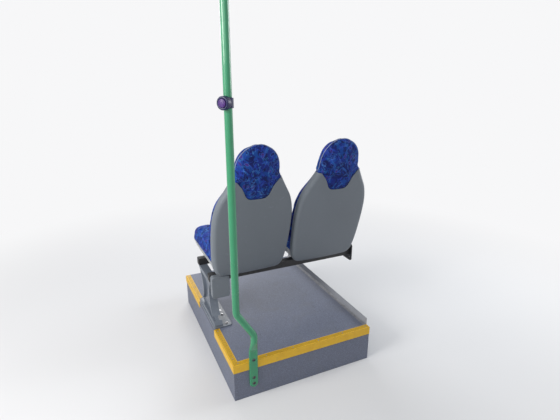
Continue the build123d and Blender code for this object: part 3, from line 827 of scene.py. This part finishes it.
def plush(name):
    """Cut-pile plush: royal blue with teal clouds, violet ovals, outlined bars, springs and squiggles."""
    finish = Finish(name)
    flat = finish.place("UV")
    wander = finish.noise(30.0, vector=flat, output="Color")
    bent = finish.vector_math("MULTIPLY_ADD", wander, (0.016, 0.016, 0.0), flat)

    def clouds(per_metre, level, offset):
        """Swirled patches that cover what lies over a level of the noise."""
        moved = finish.mapped(bent, Location=(offset, -offset, 0.0))
        return finish.step(finish.noise(per_metre, 1.0, 1.1, moved), level, level + 0.02)

    def squiggle(per_metre, thickness, presence, offset):
        """Thin wandering lines, broken into strokes."""
        moved = finish.mapped(bent, Location=(offset, -offset, offset))
        line = abs(finish.noise(per_metre, 1.0, 0.8, moved) - 0.5)
        shown = finish.noise(0.55 * per_metre, 1.0, 0.0, moved)
        return finish.step(line, thickness, 0.5 * thickness) * finish.step(shown, presence, presence + 0.03)

    def cells(per_metre, offset):
        """Places along and across a motif's own slant, from its cell's middle, and the cell's luck."""
        moved = finish.mapped(flat, Location=(offset, offset, 0.0), Scale=(per_metre, per_metre, 1.0))
        cell = {"Vector": moved, "Scale": 1.0, "Randomness": 0.65}
        centre = finish.node("ShaderNodeTexVoronoi", {"voronoi_dimensions": "2D"}, cell, "Position")
        luck = finish.node("ShaderNodeTexVoronoi", {"voronoi_dimensions": "2D"}, cell, "Color")
        turned = finish.node("ShaderNodeVectorRotate", {"rotation_type": "Z_AXIS"}, {
            "Vector": finish.vector_math("SUBTRACT", moved, centre), "Angle": finish.axis(luck, "X") * tau,
        })
        return finish.axis(turned, "X"), finish.axis(turned, "Y"), luck

    depth = finish.step(finish.noise(11.0, 3.0, 0.4, flat), 0.35, 0.65)
    colour = finish.mix(depth, (0.007, 0.012, 0.105), (0.013, 0.029, 0.235))
    colour = finish.mix(clouds(27.0, 0.545, 3.1) * 0.8, colour, (0.008, 0.066, 0.30))
    colour = finish.mix(clouds(34.0, 0.575, 6.4) * 0.85, colour, (0.004, 0.005, 0.045))

    along, across, luck = cells(25.0, 1.7)
    stretched = finish.node("ShaderNodeCombineXYZ", sockets={"X": along * 3.2, "Y": across * 5.6})
    round_off = finish.vector_math("LENGTH", stretched, output="Value")
    drawn = finish.axis(luck, "Y") > 0.5
    dye = finish.mix(finish.axis(luck, "Z") > 0.55, (0.060, 0.018, 0.17), (0.006, 0.007, 0.055))
    colour = finish.mix(finish.step(round_off, 1.0, 0.9) * drawn * 0.85, colour, dye)
    oval = finish.step(abs(round_off - 1.0), 0.20, 0.08) * drawn

    along, across, luck = cells(15.5, 8.3)
    taper = abs(across) + 0.13 * abs(along)
    drawn = finish.axis(luck, "Y") > 0.45
    colour = finish.mix(finish.step(taper, 0.058, 0.052) * drawn * 0.8, colour, (0.020, 0.055, 0.40))
    bar = finish.step(abs(taper - 0.056), 0.013, 0.006) * drawn

    along, across, luck = cells(21.0, 4.9)
    wave = finish.math("SINE", along * 34.0) * 0.085
    coil = finish.step(abs(across - wave), 0.050, 0.026) * finish.step(abs(along), 0.38, 0.35)
    spring = coil * (finish.axis(luck, "Y") > 0.5)

    pale = squiggle(40.0, 0.026, 0.50, 7.7)
    colour = finish.mix(squiggle(33.0, 0.040, 0.47, 0.0) * 0.8, colour, (0.024, 0.065, 0.44))
    colour = finish.mix(spring * 0.85, colour, (0.035, 0.20, 0.52))
    colour = finish.mix((oval + bar) * 0.6, colour, (0.070, 0.15, 0.50))
    colour = finish.mix(pale * 0.7, colour, (0.065, 0.22, 0.55))
    pile = finish.noise(1700.0, vector=flat)
    nap = finish.step(finish.noise(16.0, 4.0, 0.5), 0.35, 0.7)
    return finish.surface({
        "Base Color": finish.mix(finish.step(pile, 0.35, 0.7) * 0.3, colour, (0.016, 0.040, 0.24)),
        "Roughness": 0.80 + 0.15 * pile,
        "Sheen Weight": 0.2,
        "Sheen Roughness": 0.38,
        "Sheen Tint": (0.35, 0.52, 1.0),
        "Specular IOR Level": 0.2,
        "Normal": finish.bump(pile + 0.5 * nap + 0.25 * (spring + pale), 0.0007),
    })


def eased(value, low, high):
    """A soft step from 0 at low to 1 at high."""
    share = min(1.0, max(0.0, (value - low) / (high - low)))
    return share * share * (3 - 2 * share)


pad_bottom = 0.092
pad_top = 0.746
pad_steps = (22, 6, 8, 24)
pad_rows_below = 70
pad_rows_above = 40
pad_slack = 0.0012
cover_gap = shell_wall + 0.0006
gap_closes_from = 0.001
gap_closed_at = 0.008
swell_from_rim = 0.0005
swell_full_from_rim = 0.0145
least_swell = 0.01
bolster_swell = 0.045
bolster_grows_over = 0.08
bolster_fades_over = 0.16
bolster_end = 0.60
crown_rows = 5
crown_forward = 0.043
crown_least_depth = 0.45
crown_start = radians(50)
crown_rise = 0.0114


def pad_rings():
    """Half rings of points of one back, from the bottom up: out, forward and up the back."""

    def inset_at(s, edge):
        """How far the cover stands in: inside the shell below its edge, and almost full above."""
        closed = eased(s, edge + gap_closes_from, edge + gap_closed_at)
        return cover_gap * (1 - closed) + pad_slack

    def outline_at(s):
        return right_outline(min(s, pad_top), shell_wall, None, pad_steps)

    def swell_at(s, forward):
        """How much wider the foam stands than its section, where the shell's rim lets it out."""
        grown = min(1.0, (s - pad_bottom) / bolster_grows_over)
        neck = min(1.0, max(0.0, (bolster_end - s) / bolster_fades_over))
        out = eased(forward, shell_rim + swell_from_rim, shell_rim + swell_full_from_rim)
        return 1 + (bolster_swell * neck + least_swell) * grown * out

    last = len(outline_at(pad_bottom)) - 1
    ends = [edge_for_column(column, outline_at) for column in range(last + 1)]
    rings = []
    for row in range(pad_rows_below + pad_rows_above + crown_rows):
        ring = []
        over = max(0, row - pad_rows_below - pad_rows_above) / crown_rows
        turn = crown_start + (pi / 2 - crown_start) * over
        narrow = cos(turn) / cos(crown_start)
        rise = crown_rise * (sin(turn) - sin(crown_start)) / (1 - sin(crown_start))
        for column in range(last + 1):
            if row <= pad_rows_below:
                share = row / pad_rows_below
                s = pad_bottom + (ends[column] - pad_bottom) * share
            else:
                share = min(1.0, (row - pad_rows_below) / pad_rows_above)
                s = ends[column] + (pad_top - ends[column]) * share
            x, forward = right_outline(s, inset_at(s, ends[column]), None, pad_steps)[column]
            x *= swell_at(s, forward)
            depth = crown_least_depth + (1 - crown_least_depth) * narrow
            forward = crown_forward + (forward - crown_forward) * depth
            ring.append(Vector((x * narrow, forward, s + rise)))
        rings.append(ring)
    return rings


# Columns of points that the seams and the head's welt follow, counted outwards from the rear middle.
front_seam = 38
bolster_seam = 54
rear_corner = 28
front_panel_at = 3.0
rings = pad_rings()
last_column = len(rings[0]) - 1
around = 2 * last_column


def pad_mesh():
    """Closed skin of one back at x = 0, with a UV map in metres that restarts at the front seam."""
    body = bmesh.new()
    flat = body.loops.layers.uv.new("panels")
    verts = []
    lengths = []
    heights = []
    for row, ring in enumerate(rings):
        run = [0.0]
        for low, high in zip(ring, ring[1:]):
            run.append(run[-1] + (high - low).length)
        lengths.append(run)
        if row <= pad_rows_below + pad_rows_above:
            heights.append([point.z for point in ring])
        else:
            below = zip(heights[-1], rings[row - 1], ring)
            heights.append([height + (high - low).length for height, low, high in below])
        right = [on_back(*point) for point in ring]
        left = [on_back(-point.x, point.y, point.z) for point in ring[last_column - 1:0:-1]]
        verts.append([body.verts.new(place) for place in right + left])

    def lay_flat(row, k, middle):
        """UV of a ring's point, as a corner of the face whose middle is given."""
        side = 1 if middle < last_column else -1
        column = min(k, around - k)
        run = lengths[row][column]
        if min(middle, around - middle) > front_seam:
            return side * (lengths[row][last_column] - run) + front_panel_at, heights[row][column]
        return side * run, heights[row][column]

    for row in range(len(rings) - 1):
        for k in range(around):
            on = (k + 1) % around
            face = body.faces.new((verts[row][k], verts[row][on], verts[row + 1][on], verts[row + 1][k]))
            corners = [(row, k), (row, k + 1), (row + 1, k + 1), (row + 1, k)]
            for loop, (r, c) in zip(face.loops, corners):
                loop[flat].uv = lay_flat(r, c, k + 0.5)
    for row, height, side in ((len(rings) - 1, pad_top + crown_rise, 1), (0, pad_bottom, -1)):
        tip = body.verts.new(on_back(0, crown_forward, height))
        for k in range(around):
            face = body.faces.new((verts[row][k], verts[row][(k + 1) % around], tip))
            here, on = lay_flat(row, k, k + 0.5), lay_flat(row, k + 1, k + 0.5)
            peak = ((here[0] + on[0]) / 2, here[1] + side * (tip.co - verts[row][k].co).length)
            for loop, place in zip(face.loops, (here, on, peak)):
                loop[flat].uv = place
    bmesh.ops.recalc_face_normals(body, faces=body.faces)
    return mesh_from(body, "pad")


def inflate(piece, held, cap):
    """Swell a closed piece with cloth pressure. Held points stay, and none moves further than the cap."""
    rest = [vertex.co.copy() for vertex in piece.data.vertices]
    group = piece.vertex_groups.new(name="held")
    group.add([i for i, point in enumerate(rest) if held(point)], 1.0, "REPLACE")
    frames = range(1, 21)
    cloth = piece.modifiers.new("foam", "CLOTH")
    cloth.settings.quality = 4
    cloth.settings.mass = 0.25
    cloth.settings.tension_stiffness = 12
    cloth.settings.compression_stiffness = 12
    cloth.settings.bending_stiffness = 0.6
    cloth.settings.use_pressure = True
    cloth.settings.uniform_pressure_force = 4.0
    cloth.settings.vertex_group_mass = "held"
    cloth.settings.effector_weights.gravity = 0
    cloth.collision_settings.use_collision = False
    cloth.point_cache.frame_start = frames[0]
    cloth.point_cache.frame_end = frames[-1]
    for number in frames:
        bpy.context.scene.frame_set(number)
    settle(piece)
    bpy.context.scene.frame_set(frames[0])
    for vertex, start in zip(piece.data.vertices, rest):
        move = vertex.co - start
        vertex.co = start + move * min(1.0, cap / max(move.length, 1e-9))


def smooth_skin(piece, times, levels):
    """Even out a skin and subdivide it."""
    even = piece.modifiers.new("even", "SMOOTH")
    even.factor = 0.5
    even.iterations = times
    finer = piece.modifiers.new("finer", "SUBSURF")
    finer.levels = levels
    finer.render_levels = levels
    finer.uv_smooth = "NONE"
    settle(piece)
    piece.data.shade_smooth()


held_below = 0.115
held_over_edge = 0.003
held_past_rim = 0.004


def in_shell(point):
    """True for a point of the cover that the shell holds, or that is under the foam's lower edge."""
    out = point - Vector((0, back_foot_y, back_foot_z))
    forward = out.y * cos(recline) + out.z * sin(recline)
    s = out.z * cos(recline) - out.y * sin(recline)
    under_edge = s < edge_height(point.x) + held_over_edge
    return s < held_below or (under_edge and forward < shell_rim + held_past_rim)


pad = new_object("pad", pad_mesh())
inflate(pad, in_shell, cap=0.008)


def skin_line(column, first_row, last_row):
    """Points and outward directions of the cover along one column of its rings."""
    vertices = [pad.data.vertices[row * around + column] for row in range(first_row, last_row + 1)]
    return [(vertex.co.copy(), vertex.normal.copy()) for vertex in vertices]


top_row = len(rings) - 1
seam_first_row = 6
bolster_first_row = 8
bolster_top_row = 82
seam_depth = 0.0035
seams = []
for column, first_row, last_row in (
    (front_seam, seam_first_row, top_row), (bolster_seam, bolster_first_row, bolster_top_row),
):
    seams += [(column, first_row, last_row), (around - column, first_row, last_row)]
pad_seams = [skin_line(*seam) for seam in seams]
welt_right = skin_line(rear_corner, pad_rows_below + 1, top_row)
welt_left = skin_line(around - rear_corner, pad_rows_below + 1, top_row)
for column, _, last_row in seams:
    for row in range(seam_first_row, last_row + 1):
        vertex = pad.data.vertices[row * around + column]
        vertex.co -= vertex.normal * seam_depth
smooth_skin(pad, times=1, levels=1)


def laid_beside(line, aside, skin, proud):
    """A line of points and directions moved to its own side, then onto a skin and proud of it."""
    corners = [vertex.co for vertex in skin.vertices]
    faces = BVHTree.FromPolygons(corners, [face.vertices for face in skin.polygons])
    laid = []
    for i, (point, facing) in enumerate(line):
        before = line[max(i - 1, 0)][0]
        after = line[min(i + 1, len(line) - 1)][0]
        sideways = (after - before).normalized().cross(facing)
        place, outward, face, gap = faces.find_nearest(point + sideways * aside)
        laid.append((place + outward * proud, outward))
    return laid


def moved_across(line, x):
    """A line of points and directions moved along X."""
    return [(point + Vector((x, 0, 0)), facing) for point, facing in line]


def welt_mesh(points, radius):
    """Thin round welt along a run of points."""
    curve = bpy.data.curves.new("welt", "CURVE")
    curve.dimensions = "3D"
    curve.bevel_depth = radius
    curve.bevel_resolution = 2
    curve.use_fill_caps = True
    line = curve.splines.new("POLY")
    line.points.add(len(points) - 1)
    for point, place in zip(line.points, points):
        point.co = (*place, 1.0)
    holder = bpy.data.objects.new("welt", curve)
    mesh = bpy.data.meshes.new_from_object(holder)
    bpy.data.objects.remove(holder)
    mesh.materials.clear()
    mesh.shade_smooth()
    return mesh


def piping_with_painted_sheen(name):
    """Pale grey-blue ribbed piping. Its paleness is partly a painted highlight of the sheen along the
    head's rim.
    """
    finish = Finish(name)
    rib = finish.noise(900.0, 1.0)
    clean = finish.mix(finish.noise(30.0, 4.0), (0.20, 0.24, 0.38), (0.30, 0.35, 0.50))
    return finish.surface({
        "Base Color": finish.mix(rib * 0.4, clean, (0.12, 0.15, 0.28)),
        "Roughness": 0.6 + 0.2 * rib,
        "Sheen Weight": 0.4,
        "Normal": finish.bump(rib, 0.0002),
    })


def stitch_mesh(length, thickness):
    """One stitch: a thread that is thickest in its middle and dips into the cloth at both ends."""
    half = length / 2
    mesh = turned_mesh([
        (0.0, -half), (0.5 * thickness, -0.84 * half), (0.62 * thickness, 0.0),
        (0.5 * thickness, 0.84 * half), (0.0, half),
    ], steps=6)
    mesh.transform(Matrix.Rotation(pi / 2, 4, "Y"))
    return mesh


def plain_thread(name, colour):
    """Twisted sewing thread."""
    finish = Finish(name)
    twist = finish.noise(2600.0, 1.0)
    return finish.surface({
        "Base Color": finish.mix(twist, colour, toned(colour, 0.6)),
        "Roughness": 0.55 + 0.2 * twist,
        "Normal": finish.bump(twist, 0.0001),
    })


moquette = plush("moquette")
# The welt's pale grey-blue is partly painted highlight: it stands in for the sheen along the head's rim.
welt_cloth_painted_sheen = piping_with_painted_sheen("head_binding")
thread = plain_thread("navy_thread", (0.03, 0.04, 0.16))
stitch = stitch_mesh(length=0.0042, thickness=0.0011)
stitch_spacing = 0.0058
stitch_proud = 0.0001
stitch_aside = 0.004
pad_stitches = [
    laid_beside(line, aside, pad.data, stitch_proud)
    for line in pad_seams for aside in (-stitch_aside, stitch_aside)
]
welt_line = laid_beside(welt_right + welt_left[::-1], aside=0.0, skin=pad.data, proud=0.0006)
cloth_shift = 5.0
for side, centre_x in seat_centres.items():
    skin = copied_across(pad.data, centre_x)
    for loop in skin.uv_layers[0].data:
        loop.uv.x += cloth_shift * centre_x
    back = new_piece("back_cover_" + side, skin, moquette)
    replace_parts(back, "back_pad_" + side)
    # Each head welt is a real piping, coloured pale as a painted highlight of the rim's sheen.
    welt = welt_mesh([point for point, facing in moved_across(welt_line, centre_x)], radius=0.0019)
    new_piece("head_welt_" + side, welt, welt_cloth_painted_sheen)
    lay_row(
        "back_stitches_" + side, [moved_across(line, centre_x) for line in pad_stitches],
        stitch_spacing, stitch, thread,
    )
bpy.data.objects.remove(pad)

# Cushions: foam on the pan in the same plush, crowned, with a sewn-in seat panel and a firm front edge.
# The cover is turned in under the foam, and the pan's rim holds it all round.


def closed_copy(node, cell):
    """A fine even skin over a CAD node's solid."""
    body = bmesh.new()
    body.from_mesh(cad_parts[node].data)
    bmesh.ops.remove_doubles(body, verts=body.verts, dist=0.00002)
    piece = new_object(node + "_skin", mesh_from(body, node + "_skin"))
    even = piece.modifiers.new("even", "REMESH")
    even.mode = "VOXEL"
    even.voxel_size = cell
    return settle(piece)


cushion = closed_copy("seat_cushion_aisle", cell=0.0055)
cushion_low, cushion_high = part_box("seat_cushion_aisle")
pan_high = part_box("seat_pan_aisle")[1]
pan_tilt = radians(4.0)


def above_rim(point):
    """How far a point of the cushion stands over the pan's rim."""
    return point.z - (pan_high.z - (pan_high.y - point.y) * sin(pan_tilt))


cushion_held_below = 0.006
smooth_skin(cushion, times=4, levels=0)
inflate(cushion, lambda point: above_rim(point) < cushion_held_below, cap=0.009)
smooth_skin(cushion, times=2, levels=1)
cushion_x = seat_centres["aisle"]
panel_rear = cushion_low.y + 0.030
panel_front = cushion_high.y - 0.075
panel_rear_half = 0.120
panel_front_half = 0.138
panel_corner = 0.055
panel_seam = rounded([
    (cushion_x - panel_rear_half, panel_rear), (cushion_x - panel_front_half, panel_front),
    (cushion_x + panel_front_half, panel_front), (cushion_x + panel_rear_half, panel_rear),
], [panel_corner, panel_corner], steps=12)


def spaced(points, gap):
    """Points at about an even gap along a run."""
    run = [points[0]]
    for low, high in zip(points, points[1:]):
        count = max(1, round((high - low).length / gap))
        run += [low + (high - low) * k / count for k in range(1, count + 1)]
    return run


def dropped_on(piece, points, height):
    """Where lines dropped from a height through flat points meet a piece, with the facing there."""
    found = []
    for x, y in points:
        hit, place, facing, face = piece.ray_cast(Vector((x, y, height)), -up)
        if hit:
            found.append((place.copy(), facing.copy()))
    return found


panel_seam_depth = 0.0045
panel_seam_reach = 0.011
top_skin_height = 0.03
panel_stitch_aside = 0.0045
bpy.context.view_layer.update()
panel_line = dropped_on(cushion, spaced(panel_seam, gap=0.006), height=1.2)
for vertex in cushion.data.vertices:
    if above_rim(vertex.co) > top_skin_height:
        near = min((vertex.co - place).length for place, facing in panel_line[::2])
        vertex.co.z -= panel_seam_depth * max(0.0, 1 - near / panel_seam_reach) ** 2
panel_stitches = [
    laid_beside(panel_line, aside, cushion.data, stitch_proud)
    for aside in (-panel_stitch_aside, panel_stitch_aside)
]

# The cloth's flat places in metres: the top first, then the side bands and the front and rear bands.
side_band_at = 2.0
front_band_at = 4.0
panels = cushion.data.uv_layers.new(name="panels")
for face in cushion.data.polygons:
    x, y, z = (abs(part) for part in face.normal)
    for k in face.loop_indices:
        place = cushion.data.vertices[cushion.data.loops[k].vertex_index].co
        if z > max(x, y):
            panels.data[k].uv = (place.x, place.y)
        elif x > y:
            panels.data[k].uv = (place.y + side_band_at, place.z)
        else:
            panels.data[k].uv = (place.x + front_band_at, place.z)
cushion_cloth_at = 7.0
for side, centre_x in seat_centres.items():
    skin = copied_across(cushion.data, centre_x - cushion_x)
    for loop in skin.uv_layers[0].data:
        loop.uv.y += cushion_cloth_at + cloth_shift * centre_x
    seat = new_piece("cushion_" + side, skin, moquette)
    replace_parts(seat, "seat_cushion_" + side)
    lay_row(
        "cushion_stitches_" + side,
        [moved_across(line, centre_x - cushion_x) for line in panel_stitches],
        stitch_spacing, stitch, thread,
    )
bpy.data.objects.remove(cushion)

# Grab pole: steel tube, 34 mm across, in baked green enamel. It drops from a flange under the ceiling,
# joggles in over the podium's edge and is pressed flat where three dark screws hold it to the riser.


def green_enamel(name):
    """Glossy stoved enamel, hazed where hands slide and chipped a little near the floor."""
    finish = Finish(name)
    cloud = finish.noise(9.0, 4.0)
    height = finish.axis(finish.place(), "Z")
    chip = finish.step(finish.noise(130.0, 3.0), 0.70, 0.73) * finish.step(height, 0.45, 0.15)
    coat = finish.mix(cloud, (0.019, 0.225, 0.100), (0.028, 0.285, 0.130))
    handled = finish.step(height, 0.7, 1.0) * finish.step(height, 1.8, 1.5)
    return finish.surface({
        "Base Color": finish.mix(chip * 0.8, coat, (0.10, 0.12, 0.11)),
        "Roughness": 0.20 + 0.12 * cloud + 0.12 * handled,
        "Coat Weight": 0.5,
        "Coat Roughness": 0.08,
        "Normal": finish.bump(finish.noise(240.0), 0.00006),
    })


def pressed_tube_mesh(centre_x, riser_y, sections):
    """Skin through sections of a pressed tube: height, half width, half depth, stand-off, squareness."""
    points_round = 72
    body = bmesh.new()
    rings = []
    for z, wide, deep, off, square in sections:
        ring = []
        for k in range(points_round):
            out, back = cos(tau * k / points_round), sin(tau * k / points_round)
            x = wide * abs(out) ** (2 / square) * (1 if out > 0 else -1)
            y = deep * abs(back) ** (2 / square) * (1 if back > 0 else -1)
            ring.append(body.verts.new((centre_x + x, riser_y - off + y, z)))
        rings.append(ring)
    for low, high in zip(rings, rings[1:]):
        for k in range(points_round):
            on = (k + 1) % points_round
            body.faces.new((low[k], low[on], high[on], high[k]))
    body.faces.new(rings[0][::-1])
    body.faces.new(rings[-1])
    return mesh_from(body, "pressed", sharp_angle=50)


enamel = green_enamel("green_enamel")
paint_nodes(enamel, "grab_pole", "ceiling_flange")
foot_low, foot_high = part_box("pole_foot")
foot_x = (foot_low.x + foot_high.x) / 2
foot_half_width = (foot_high.x - foot_low.x) / 2
foot_half_depth = 0.006
riser_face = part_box("riser_rear")[0].y
tube_radius = 0.017
tube_stand_off = 0.022
press_start = 0.262
flat_squareness = 5.0
round_squareness = 2.0
end_steps = 12
end_first_step = 0.4
neck_steps = 24
foot_sections = []
for k in range(end_steps):
    turn = pi / 2 * (k + end_first_step) / (end_steps - 1 + end_first_step)
    z = foot_low.z + foot_half_width * (1 - cos(turn))
    wide = foot_half_width * sin(turn)
    foot_sections.append((z, wide, foot_half_depth, foot_half_depth, flat_squareness))
for k in range(neck_steps + 1):
    share = k / neck_steps
    ease = eased(share, 0.0, 1.0)
    rounding = min(1.0, 1.6 * share) ** 0.6
    foot_sections.append((
        press_start + (foot_high.z - press_start) * share,
        foot_half_width + (tube_radius - foot_half_width) * ease,
        foot_half_depth + (tube_radius - foot_half_depth) * ease,
        foot_half_depth + (tube_stand_off - foot_half_depth) * ease,
        flat_squareness - (flat_squareness - round_squareness) * rounding,
    ))
foot_mesh = pressed_tube_mesh(foot_x, riser_face, foot_sections)
foot = new_piece("pole_foot_skin", foot_mesh, enamel)
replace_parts(foot, "pole_foot")

socket_screw = turned_mesh([
    (0.0, 0.0010), (0.0022, 0.0010), (0.0023, 0.0034), (0.0040, 0.0033), (0.0054, 0.0022), (0.0060, 0.0006),
    (0.0062, 0.0006), (0.0084, 0.0006), (0.0086, 0.0), (0.0, 0.0),
], steps=24)
foot_screw_heights = (0.084, 0.118, 0.222)
screw_turn = Matrix.Rotation(pi / 2, 4, "X")
screw_heads = []
for height in foot_screw_heights:
    head = socket_screw.copy()
    head.transform(Matrix.Translation((foot_x, riser_face - 2 * foot_half_depth, height)) @ screw_turn)
    screw_heads.append(head)
dark_zinc = plated_steel("dark_zinc", (0.09, 0.095, 0.10))
heads_mesh = joined("pole_foot_screw_heads", screw_heads, sharp_angle=35)
screws = new_piece("pole_foot_screw_heads", heads_mesh, dark_zinc)
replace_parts(screws, "pole_foot_screws")

# Stop button: a round moulded housing on a split clamp, dark blue, with a violet push cap in a dished
# recess. The clamp closes round the pole and turns the button towards the aisle.


def gloss_plastic(name, colour, worn):
    """Smooth moulded plastic with finger smears."""
    finish = Finish(name)
    smear = finish.step(finish.noise(90.0, 3.0, 0.3), 0.3, 0.8)
    return finish.surface({
        "Base Color": finish.mix(smear, colour, worn),
        "Roughness": 0.30 + 0.12 * smear,
        "Specular IOR Level": 0.4,
        "Normal": finish.bump(finish.noise(500.0, 1.0), 0.00002),
    })


def ring_profile(radius, height, wide, deep, steps):
    """A groove's half-round section, for a turned profile that runs inwards."""
    turns = [pi * k / steps for k in range(steps + 1)]
    return [(radius + 0.5 * wide * cos(turn), height - deep * sin(turn)) for turn in turns]


housing_blue = gloss_plastic("housing_blue", (0.007, 0.010, 0.055), (0.010, 0.013, 0.075))
cap_violet = gloss_plastic("cap_violet", (0.060, 0.020, 0.15), (0.075, 0.027, 0.18))
paint_nodes(housing_blue, "button_clamp")
clamp_low, clamp_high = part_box("button_clamp")
button_turn = radians(52)
facing = Vector((-sin(button_turn), -cos(button_turn), 0))
on_pole = Matrix.Translation((clamp_low + clamp_high) / 2)
button_place = on_pole @ facing.to_track_quat("Z", "Y").to_matrix().to_4x4()
housing_mesh = turned_mesh([
    (0.0, 0.010), (0.0235, 0.010), (0.0262, 0.013), (0.0270, 0.018), (0.0270, 0.0352), (0.0264, 0.0378),
    (0.0250, 0.0393), (0.0232, 0.0400), (0.0196, 0.0400), (0.0186, 0.0394), (0.0182, 0.0384),
    (0.0182, 0.0350), (0.0, 0.0350),
], steps=72)
cap_mesh = turned_mesh([
    (0.0, 0.0352), (0.0170, 0.0352), (0.0170, 0.0418), (0.0166, 0.0430), (0.0156, 0.0438),
    *ring_profile(radius=0.0120, height=0.0444, wide=0.0016, deep=0.0006, steps=6),
    (0.0080, 0.0448), (0.0040, 0.0450), (0.0, 0.0450),
], steps=72)
for mesh, name, node, material in (
    (housing_mesh, "button_body", "button_housing", housing_blue),
    (cap_mesh, "button_push_cap", "button_cap", cap_violet),
):
    mesh.transform(button_place)
    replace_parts(new_piece(name, mesh, material), node)

# Floor, light and camera. A pale floor fades into white, four soft lamps stand round the seats,
# and the camera looks forward along the bus from a standing passenger's height.


def seen_not_lit(finish):
    """1 for rays from the camera, from gloss and through glass, and 0 for light on the seats."""
    camera, glossy, through = (
        finish.node("ShaderNodeLightPath", output=f"Is {kind} Ray")
        for kind in ("Camera", "Glossy", "Transmission")
    )
    return camera + glossy + through


background = {"Color": (0.93, 0.93, 0.94), "Strength": 1.0}
floor_half = 30.0
floor_drop = 0.0005
floor_corners = [(x * floor_half, y * floor_half, 0) for x, y in ((-1, -1), (1, -1), (1, 1), (-1, 1))]
floor_mesh = bpy.data.meshes.new("floor")
floor_mesh.from_pydata(floor_corners, [], [(0, 1, 2, 3)])
floor = new_object("floor", floor_mesh)
floor.location.z = -floor_drop
studio = Finish("studio_floor")
away = studio.vector_math("LENGTH", studio.place(), output="Value")
matt = studio.node("ShaderNodeBsdfDiffuse", sockets={"Color": (0.72, 0.72, 0.73)})
glow = studio.node("ShaderNodeEmission", sockets=background)
far = studio.step(away, 0.9, 3.2) * seen_not_lit(studio)
blend = studio.node("ShaderNodeMixShader", sockets={0: far, 1: matt, 2: glow})
studio.node("ShaderNodeOutputMaterial", sockets={"Surface": blend})
floor.data.materials.append(studio.owner)

world = bpy.data.worlds.new("studio")
sky = Finish(world)
ambient = sky.node("ShaderNodeBackground", sockets={"Color": (0.90, 0.94, 1.0), "Strength": 0.32})
white = sky.node("ShaderNodeBackground", sockets=background)
both = sky.node("ShaderNodeMixShader", sockets={0: seen_not_lit(sky), 1: ambient, 2: white})
sky.node("ShaderNodeOutputWorld", sockets={"Surface": both})
bpy.context.scene.world = world

seat_middle = Vector((0.05, -0.1, 0.75))
for name, place, size, watts, colour in (
    ("left_lamp", (-3.0, -0.9, 2.3), 1.4, 85, (1.0, 0.98, 0.95)),
    ("right_lamp", (2.9, -0.5, 2.0), 1.4, 45, (0.95, 0.98, 1.0)),
    ("front_lamp", (0.4, 2.8, 2.6), 2.0, 65, (1.0, 1.0, 1.0)),
    ("rear_lamp", (-1.9, -2.7, 2.5), 1.8, 24, (1.0, 1.0, 1.0)),
):
    lamp = bpy.data.lights.new(name, "AREA")
    lamp.shape = "SQUARE"
    lamp.size = size
    lamp.energy = watts
    lamp.color = colour
    holder = new_object(name, lamp)
    holder.location = place
    holder.rotation_euler = (seat_middle - Vector(place)).to_track_quat("-Z", "Y").to_euler()
    holder.visible_camera = False

eye = Vector((-0.885, -2.125, 1.55))
gaze = Vector((0.1023, 0.2236, -0.0805))
camera = new_object("camera", bpy.data.cameras.new("camera"))
camera.location = eye
camera.rotation_euler = gaze.to_track_quat("-Z", "Y").to_euler()
camera.data.sensor_width = 36.0
camera.data.lens = 26.4
bpy.context.scene.camera = camera
bpy.context.scene.view_settings.view_transform = "Standard"
